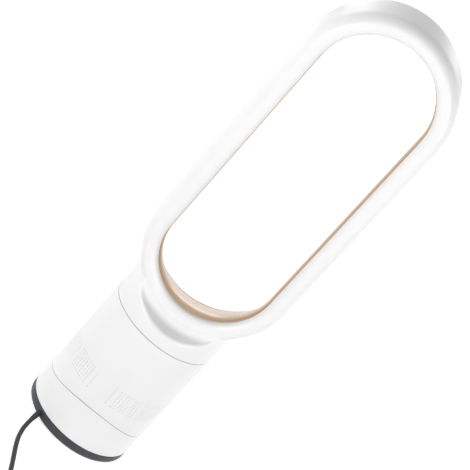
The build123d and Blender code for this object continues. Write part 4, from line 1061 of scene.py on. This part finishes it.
class FAN_OT_lead(bpy.types.Operator):
    """Mains lead with its strain relief, coil, tie and plug"""
    bl_idname = "fan.lead"
    bl_label = "Mains lead"

    def execute(self, context):
        points = [LEAD_START] + [Vector(point) for point in LEAD_ROUTE] + coil_points()
        points += [Vector(point) for point in TAIL_ROUTE]
        line = bpy.data.curves.new("mains_lead", "CURVE")
        line.dimensions = "3D"
        line.bevel_depth = CORD_RADIUS
        line.bevel_resolution = 6
        line.resolution_u = 8
        line.use_fill_caps = True
        spline = line.splines.new("NURBS")
        spline.points.add(len(points) - 1)
        for slot, point in zip(spline.points, points):
            slot.co = (*point, 1)
        spline.order_u = 3
        spline.use_endpoint_u = True
        line.materials.append(painted("cord_jacket"))
        lead = add_object("mains_lead", line)
        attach(lead, "foot")
        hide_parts("cord_lead", "cord_coil", "cord_tail")
        self.gland()
        self.tie()
        self.plug()
        self.pins()
        return {"FINISHED"}

    def gland(self):
        """Tapered strain relief with shallow ribs that let it bend."""
        outline = [(0, -8.5), (4.8, -8.5), (4.8, -6.0), (3.8, -6.0), (3.8, 1.0)]
        for k in range(6):
            start = 2.0 + RIB_PITCH * k
            radius = 3.85 - 0.5 * start / 22
            outline += [(radius, start), (radius - 0.4, start + 0.25), (radius - 0.4, start + 1.05),
                        (radius - 0.05, start + 1.3)]
        outline += [(3.35, 21.6), (3.15, 22.0), (0, 22.0)]
        mesh = spun(outline, steps=40)
        soften(mesh, 0.12 * MM, limit=30, segments=2)
        laid = Matrix.Rotation(-CORD_TURN, 4, "Z") @ Matrix.Rotation(-pi / 2, 4, "X")
        bmesh.ops.transform(mesh, matrix=Matrix.Translation(GLAND_PLACE) @ laid, verts=mesh.verts)
        return piece("lead_gland", mesh, "foot", "cord_jacket", ["cord_gland"])

    def tie(self):
        """Soft strap round the coil, laid flat against its turns."""
        outline = [(20.8, 0.75), (46.9, 0.75), (47.3, 3.0), (46.6, 5.6), (43.6, 10.4), (41.6, 12.0),
                   (25.6, 12.0), (23.6, 10.4), (20.9, 5.6), (20.3, 3.0)]
        outward = Vector((cos(TIE_TURN), sin(TIE_TURN), 0))
        along = Vector((-outward.y, outward.x, 0))
        mesh = bmesh.new()
        edges = closed_outline(mesh, [
            COIL_CENTRE + (outward * radius + Vector((0, 0, height)) - along * TIE_HALF) * MM
            for radius, height in outline])[1]
        bmesh.ops.translate(mesh, verts=extruded(mesh, edges)[0], vec=along * 2 * TIE_HALF * MM)
        face_outwards(mesh)
        middle = COIL_CENTRE + (outward * 34 + Vector((0, 0, 6))) * MM
        side = mesh.faces[:][0]
        if side.normal.dot(side.calc_center_median() - middle) < 0:
            bmesh.ops.reverse_faces(mesh, faces=mesh.faces)
        bmesh.ops.solidify(mesh, geom=mesh.faces[:], thickness=TIE_WALL * MM)
        long = [edge for edge in mesh.edges if edge.calc_length() > 8 * MM]
        bmesh.ops.subdivide_edges(mesh, edges=long, cuts=2)
        soften(mesh, 0.2 * MM, limit=30, segments=2)
        return piece("coil_tie", mesh, "foot", "soft_rubber", paint="strap_black")

    def plug(self):
        """Plug body: ribbed sleeve on the lead, then a grip with hollowed sides."""
        sections = [(0, 3.2, 3.2, 2), (0.2, 3.9, 3.9, 2)]
        for k in range(5):
            start = 1.0 + 1.8 * k
            size = 3.9 + 0.32 * k
            sections += [(start + ahead, size + more, size + more, 2)
                         for ahead, more in ((0, 0), (0.2, -0.5), (0.9, -0.5), (1.1, 0.1))]
        sections += [(10.4, 6.2, 5.8, 2.2), (12.0, 8.6, 6.1, 2.6), (13.6, 10.6, 6.3, 3.0),
                     (15.4, 11.7, 6.4, 3.4)]
        sections += [(along, wide, 6.5, 3.6) for along, wide in (
            (17.5, 12.0), (20.5, 11.4), (24.0, 11.1), (27.5, 11.4), (30.5, 12.0), (34.8, 12.0))]
        sections += [(35.6, 11.8, 6.3, 3.6), (36.0, 11.2, 5.7, 3.6)]
        mesh = lofted(sections, PLUG_PLACE)
        return piece("mains_plug", mesh, "foot", "cord_jacket", ["plug_body"], limit=50)

    def pins(self):
        """Two flat pins with bevelled tips."""
        mesh = bmesh.new()
        for side in (-PIN_APART, PIN_APART):
            made = bmesh.ops.create_cube(mesh, size=1.0)["verts"]
            bmesh.ops.scale(mesh, verts=made, vec=PIN_SIZE * MM)
            bmesh.ops.translate(mesh, verts=made, vec=PLUG_PLACE + Vector((side, -PIN_MIDDLE, 0)) * MM)
        tip = PLUG_PLACE.y - (PIN_MIDDLE + PIN_SIZE.y / 2) * MM
        soften(mesh, 0.55 * MM, limit=60, segments=2, only=lambda edge: all(
            abs(corner.co.y - tip) < 1e-5 for corner in edge.verts))
        soften(mesh, 0.12 * MM, limit=60, segments=2)
        return piece("mains_pins", mesh, "foot", "pin_brass", ["plug_pins"])


# ---- inner pieces ----
class FAN_OT_inside(bpy.types.Operator):
    """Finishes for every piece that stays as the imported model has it"""
    bl_idname = "fan.inside"
    bl_label = "Inner pieces"

    def execute(self, context):
        slots = {item["node"]: item["material_slot"] for item in frame["record"]["subparts"]}
        for name, node in NODES.items():
            if not node.hide_render:
                for place in node.material_slots:
                    place.material = painted(slots[name])
        return {"FINISHED"}


# ---- stage, in metres ----
FLOOR_HALF = 6.0
LAMP_AIM = Vector((0, 0, 0.3))
RIGHT_SHARE = 0.74
CAMERA_PLACE = (0.2419, 2.1533, 1.2511)
CAMERA_LENS = 146.13
LEVEL_RIGHT = Vector((-0.99412, 0.10826, 0.0))
LEVEL_UP = Vector((-0.04183, -0.38412, 0.92234))
ROLL_COS = 0.7436
ROLL_SIN = 0.6686


class FAN_OT_stage(bpy.types.Operator):
    """Floor, lamps, surroundings and the camera"""
    bl_idname = "fan.stage"
    bl_label = "Stage"

    def execute(self, context):
        settings = context.scene.fan_stage
        self.floor(settings.floor)
        self.sky(context.scene, settings)
        self.lamp("left_lamp", (1.9, 2.3, 1.0), (1.5, 1.5), settings.key)
        self.lamp("right_lamp", (-1.9, 2.0, 0.9), (1.5, 1.5), RIGHT_SHARE * settings.key)
        self.lamp("front_lamp", (0.0, -2.8, 0.70), (1.8, 0.60), settings.front)
        self.camera(context.scene)
        context.scene.view_settings.view_transform = "Standard"
        return {"FINISHED"}

    def floor(self, strength):
        """Pale floor that takes the fan's shadow and glows to white where the backdrop shows."""
        mesh = bmesh.new()
        bmesh.ops.create_grid(mesh, x_segments=1, y_segments=1, size=FLOOR_HALF)
        data = bpy.data.meshes.new("floor")
        mesh.to_mesh(data)
        mesh.free()
        paint = bpy.data.materials.new("floor_white")
        paint.use_nodes = True
        tree = paint.node_tree
        face = tree.nodes["Principled BSDF"]
        feed(tree, face.inputs, {"Base Color": (0.9, 0.9, 0.9, 1), "Roughness": 0.9,
                                 "Specular IOR Level": 0.0})
        plain = face.outputs["BSDF"]
        glow = add_node(tree, "Emission", {"Strength": strength})["Emission"]
        lit = add_node(tree, "AddShader", {0: plain, 1: glow})["Shader"]
        mix = add_node(tree, "MixShader", {0: shown_rays(tree), 1: plain, 2: lit})["Shader"]
        feed(tree, tree.nodes["Material Output"].inputs, {"Surface": mix})
        data.materials.append(paint)
        add_object("floor", data)

    def sky(self, scene, settings):
        """Soft light from both sides; the camera, reflections and clear pieces see plain white."""
        scene.world = scene.world or bpy.data.worlds.new("surroundings")
        scene.world.use_nodes = True
        tree = scene.world.node_tree
        tree.nodes.clear()
        way = add_node(tree, "SeparateXYZ", {"Vector": add_node(tree, "TexCoord")["Generated"]})
        aside = reckoned(tree, "ABSOLUTE", way["X"])
        beside = ranged(tree, aside, 0.35, 0.95, 0.0, settings.sides, interpolation_type="SMOOTHSTEP")
        low = ranged(tree, way["Z"], 0.60, 0.25, interpolation_type="SMOOTHSTEP")
        total = reckoned(tree, "MULTIPLY_ADD", beside, low, settings.level)
        plain, white = (
            add_node(tree, "Background", {"Color": (1, 1, 1, 1), "Strength": strength})["Background"]
            for strength in (total, 1.0))
        mix = add_node(tree, "MixShader", {0: shown_rays(tree), 1: plain, 2: white})["Shader"]
        add_node(tree, "OutputWorld", {"Surface": mix})

    def lamp(self, name, place, size, power):
        data = bpy.data.lights.new(name, "AREA")
        data.shape = "RECTANGLE"
        data.size, data.size_y = size
        data.energy = power
        lamp = add_object(name, data)
        lamp.location = place
        lamp.rotation_euler = (LAMP_AIM - Vector(place)).to_track_quat("-Z", "Y").to_euler()

    def camera(self, scene):
        """Camera at the photograph's angle, rolled about its own line of sight."""
        data = bpy.data.cameras.new("camera")
        data.sensor_width = 36.0
        data.lens = CAMERA_LENS
        data.clip_start = 0.05
        data.clip_end = 50.0
        across = (LEVEL_RIGHT * ROLL_COS + LEVEL_UP * ROLL_SIN).normalized()
        back = across.cross(LEVEL_UP * ROLL_COS - LEVEL_RIGHT * ROLL_SIN).normalized()
        turn = Matrix((across, back.cross(across), back)).transposed().to_4x4()
        camera = add_object("camera", data)
        camera.matrix_world = Matrix.Translation(CAMERA_PLACE) @ turn
        scene.camera = camera


class FAN_PT_sidebar(bpy.types.Panel):
    """Lists the pieces of the fan in the 3D view's sidebar"""
    bl_idname = "FAN_PT_sidebar"
    bl_label = "Bladeless Fan"
    bl_space_type = "VIEW_3D"
    bl_region_type = "UI"
    bl_category = "Fan"

    def draw(self, context):
        for group_name in ("fan_finishes", "fan_sizes", "fan_stage"):
            settings = getattr(context.scene, group_name)
            for name in settings.__annotations__:
                self.layout.prop(settings, name)
        for operator in OPERATORS:
            self.layout.operator(operator.bl_idname)


OPERATORS = (FAN_OT_foot, FAN_OT_base, FAN_OT_controls, FAN_OT_body, FAN_OT_loop, FAN_OT_collar,
             FAN_OT_lead, FAN_OT_inside, FAN_OT_stage)
GROUPS = {"fan_finishes": FanFinishes, "fan_sizes": FanSizes, "fan_stage": FanStage}


def register():
    for made in (*GROUPS.values(), *OPERATORS, FAN_PT_sidebar):
        bpy.utils.register_class(made)
    for name, made in GROUPS.items():
        setattr(bpy.types.Scene, name, bpy.props.PointerProperty(type=made))


def unregister():
    for name in GROUPS:
        delattr(bpy.types.Scene, name)
    for made in reversed((*GROUPS.values(), *OPERATORS, FAN_PT_sidebar)):
        bpy.utils.unregister_class(made)


def main():
    register()
    for operator in OPERATORS:
        folder, name = operator.bl_idname.split(".")
        getattr(getattr(bpy.ops, folder), name)()


if __name__ == "__main__":
    main()
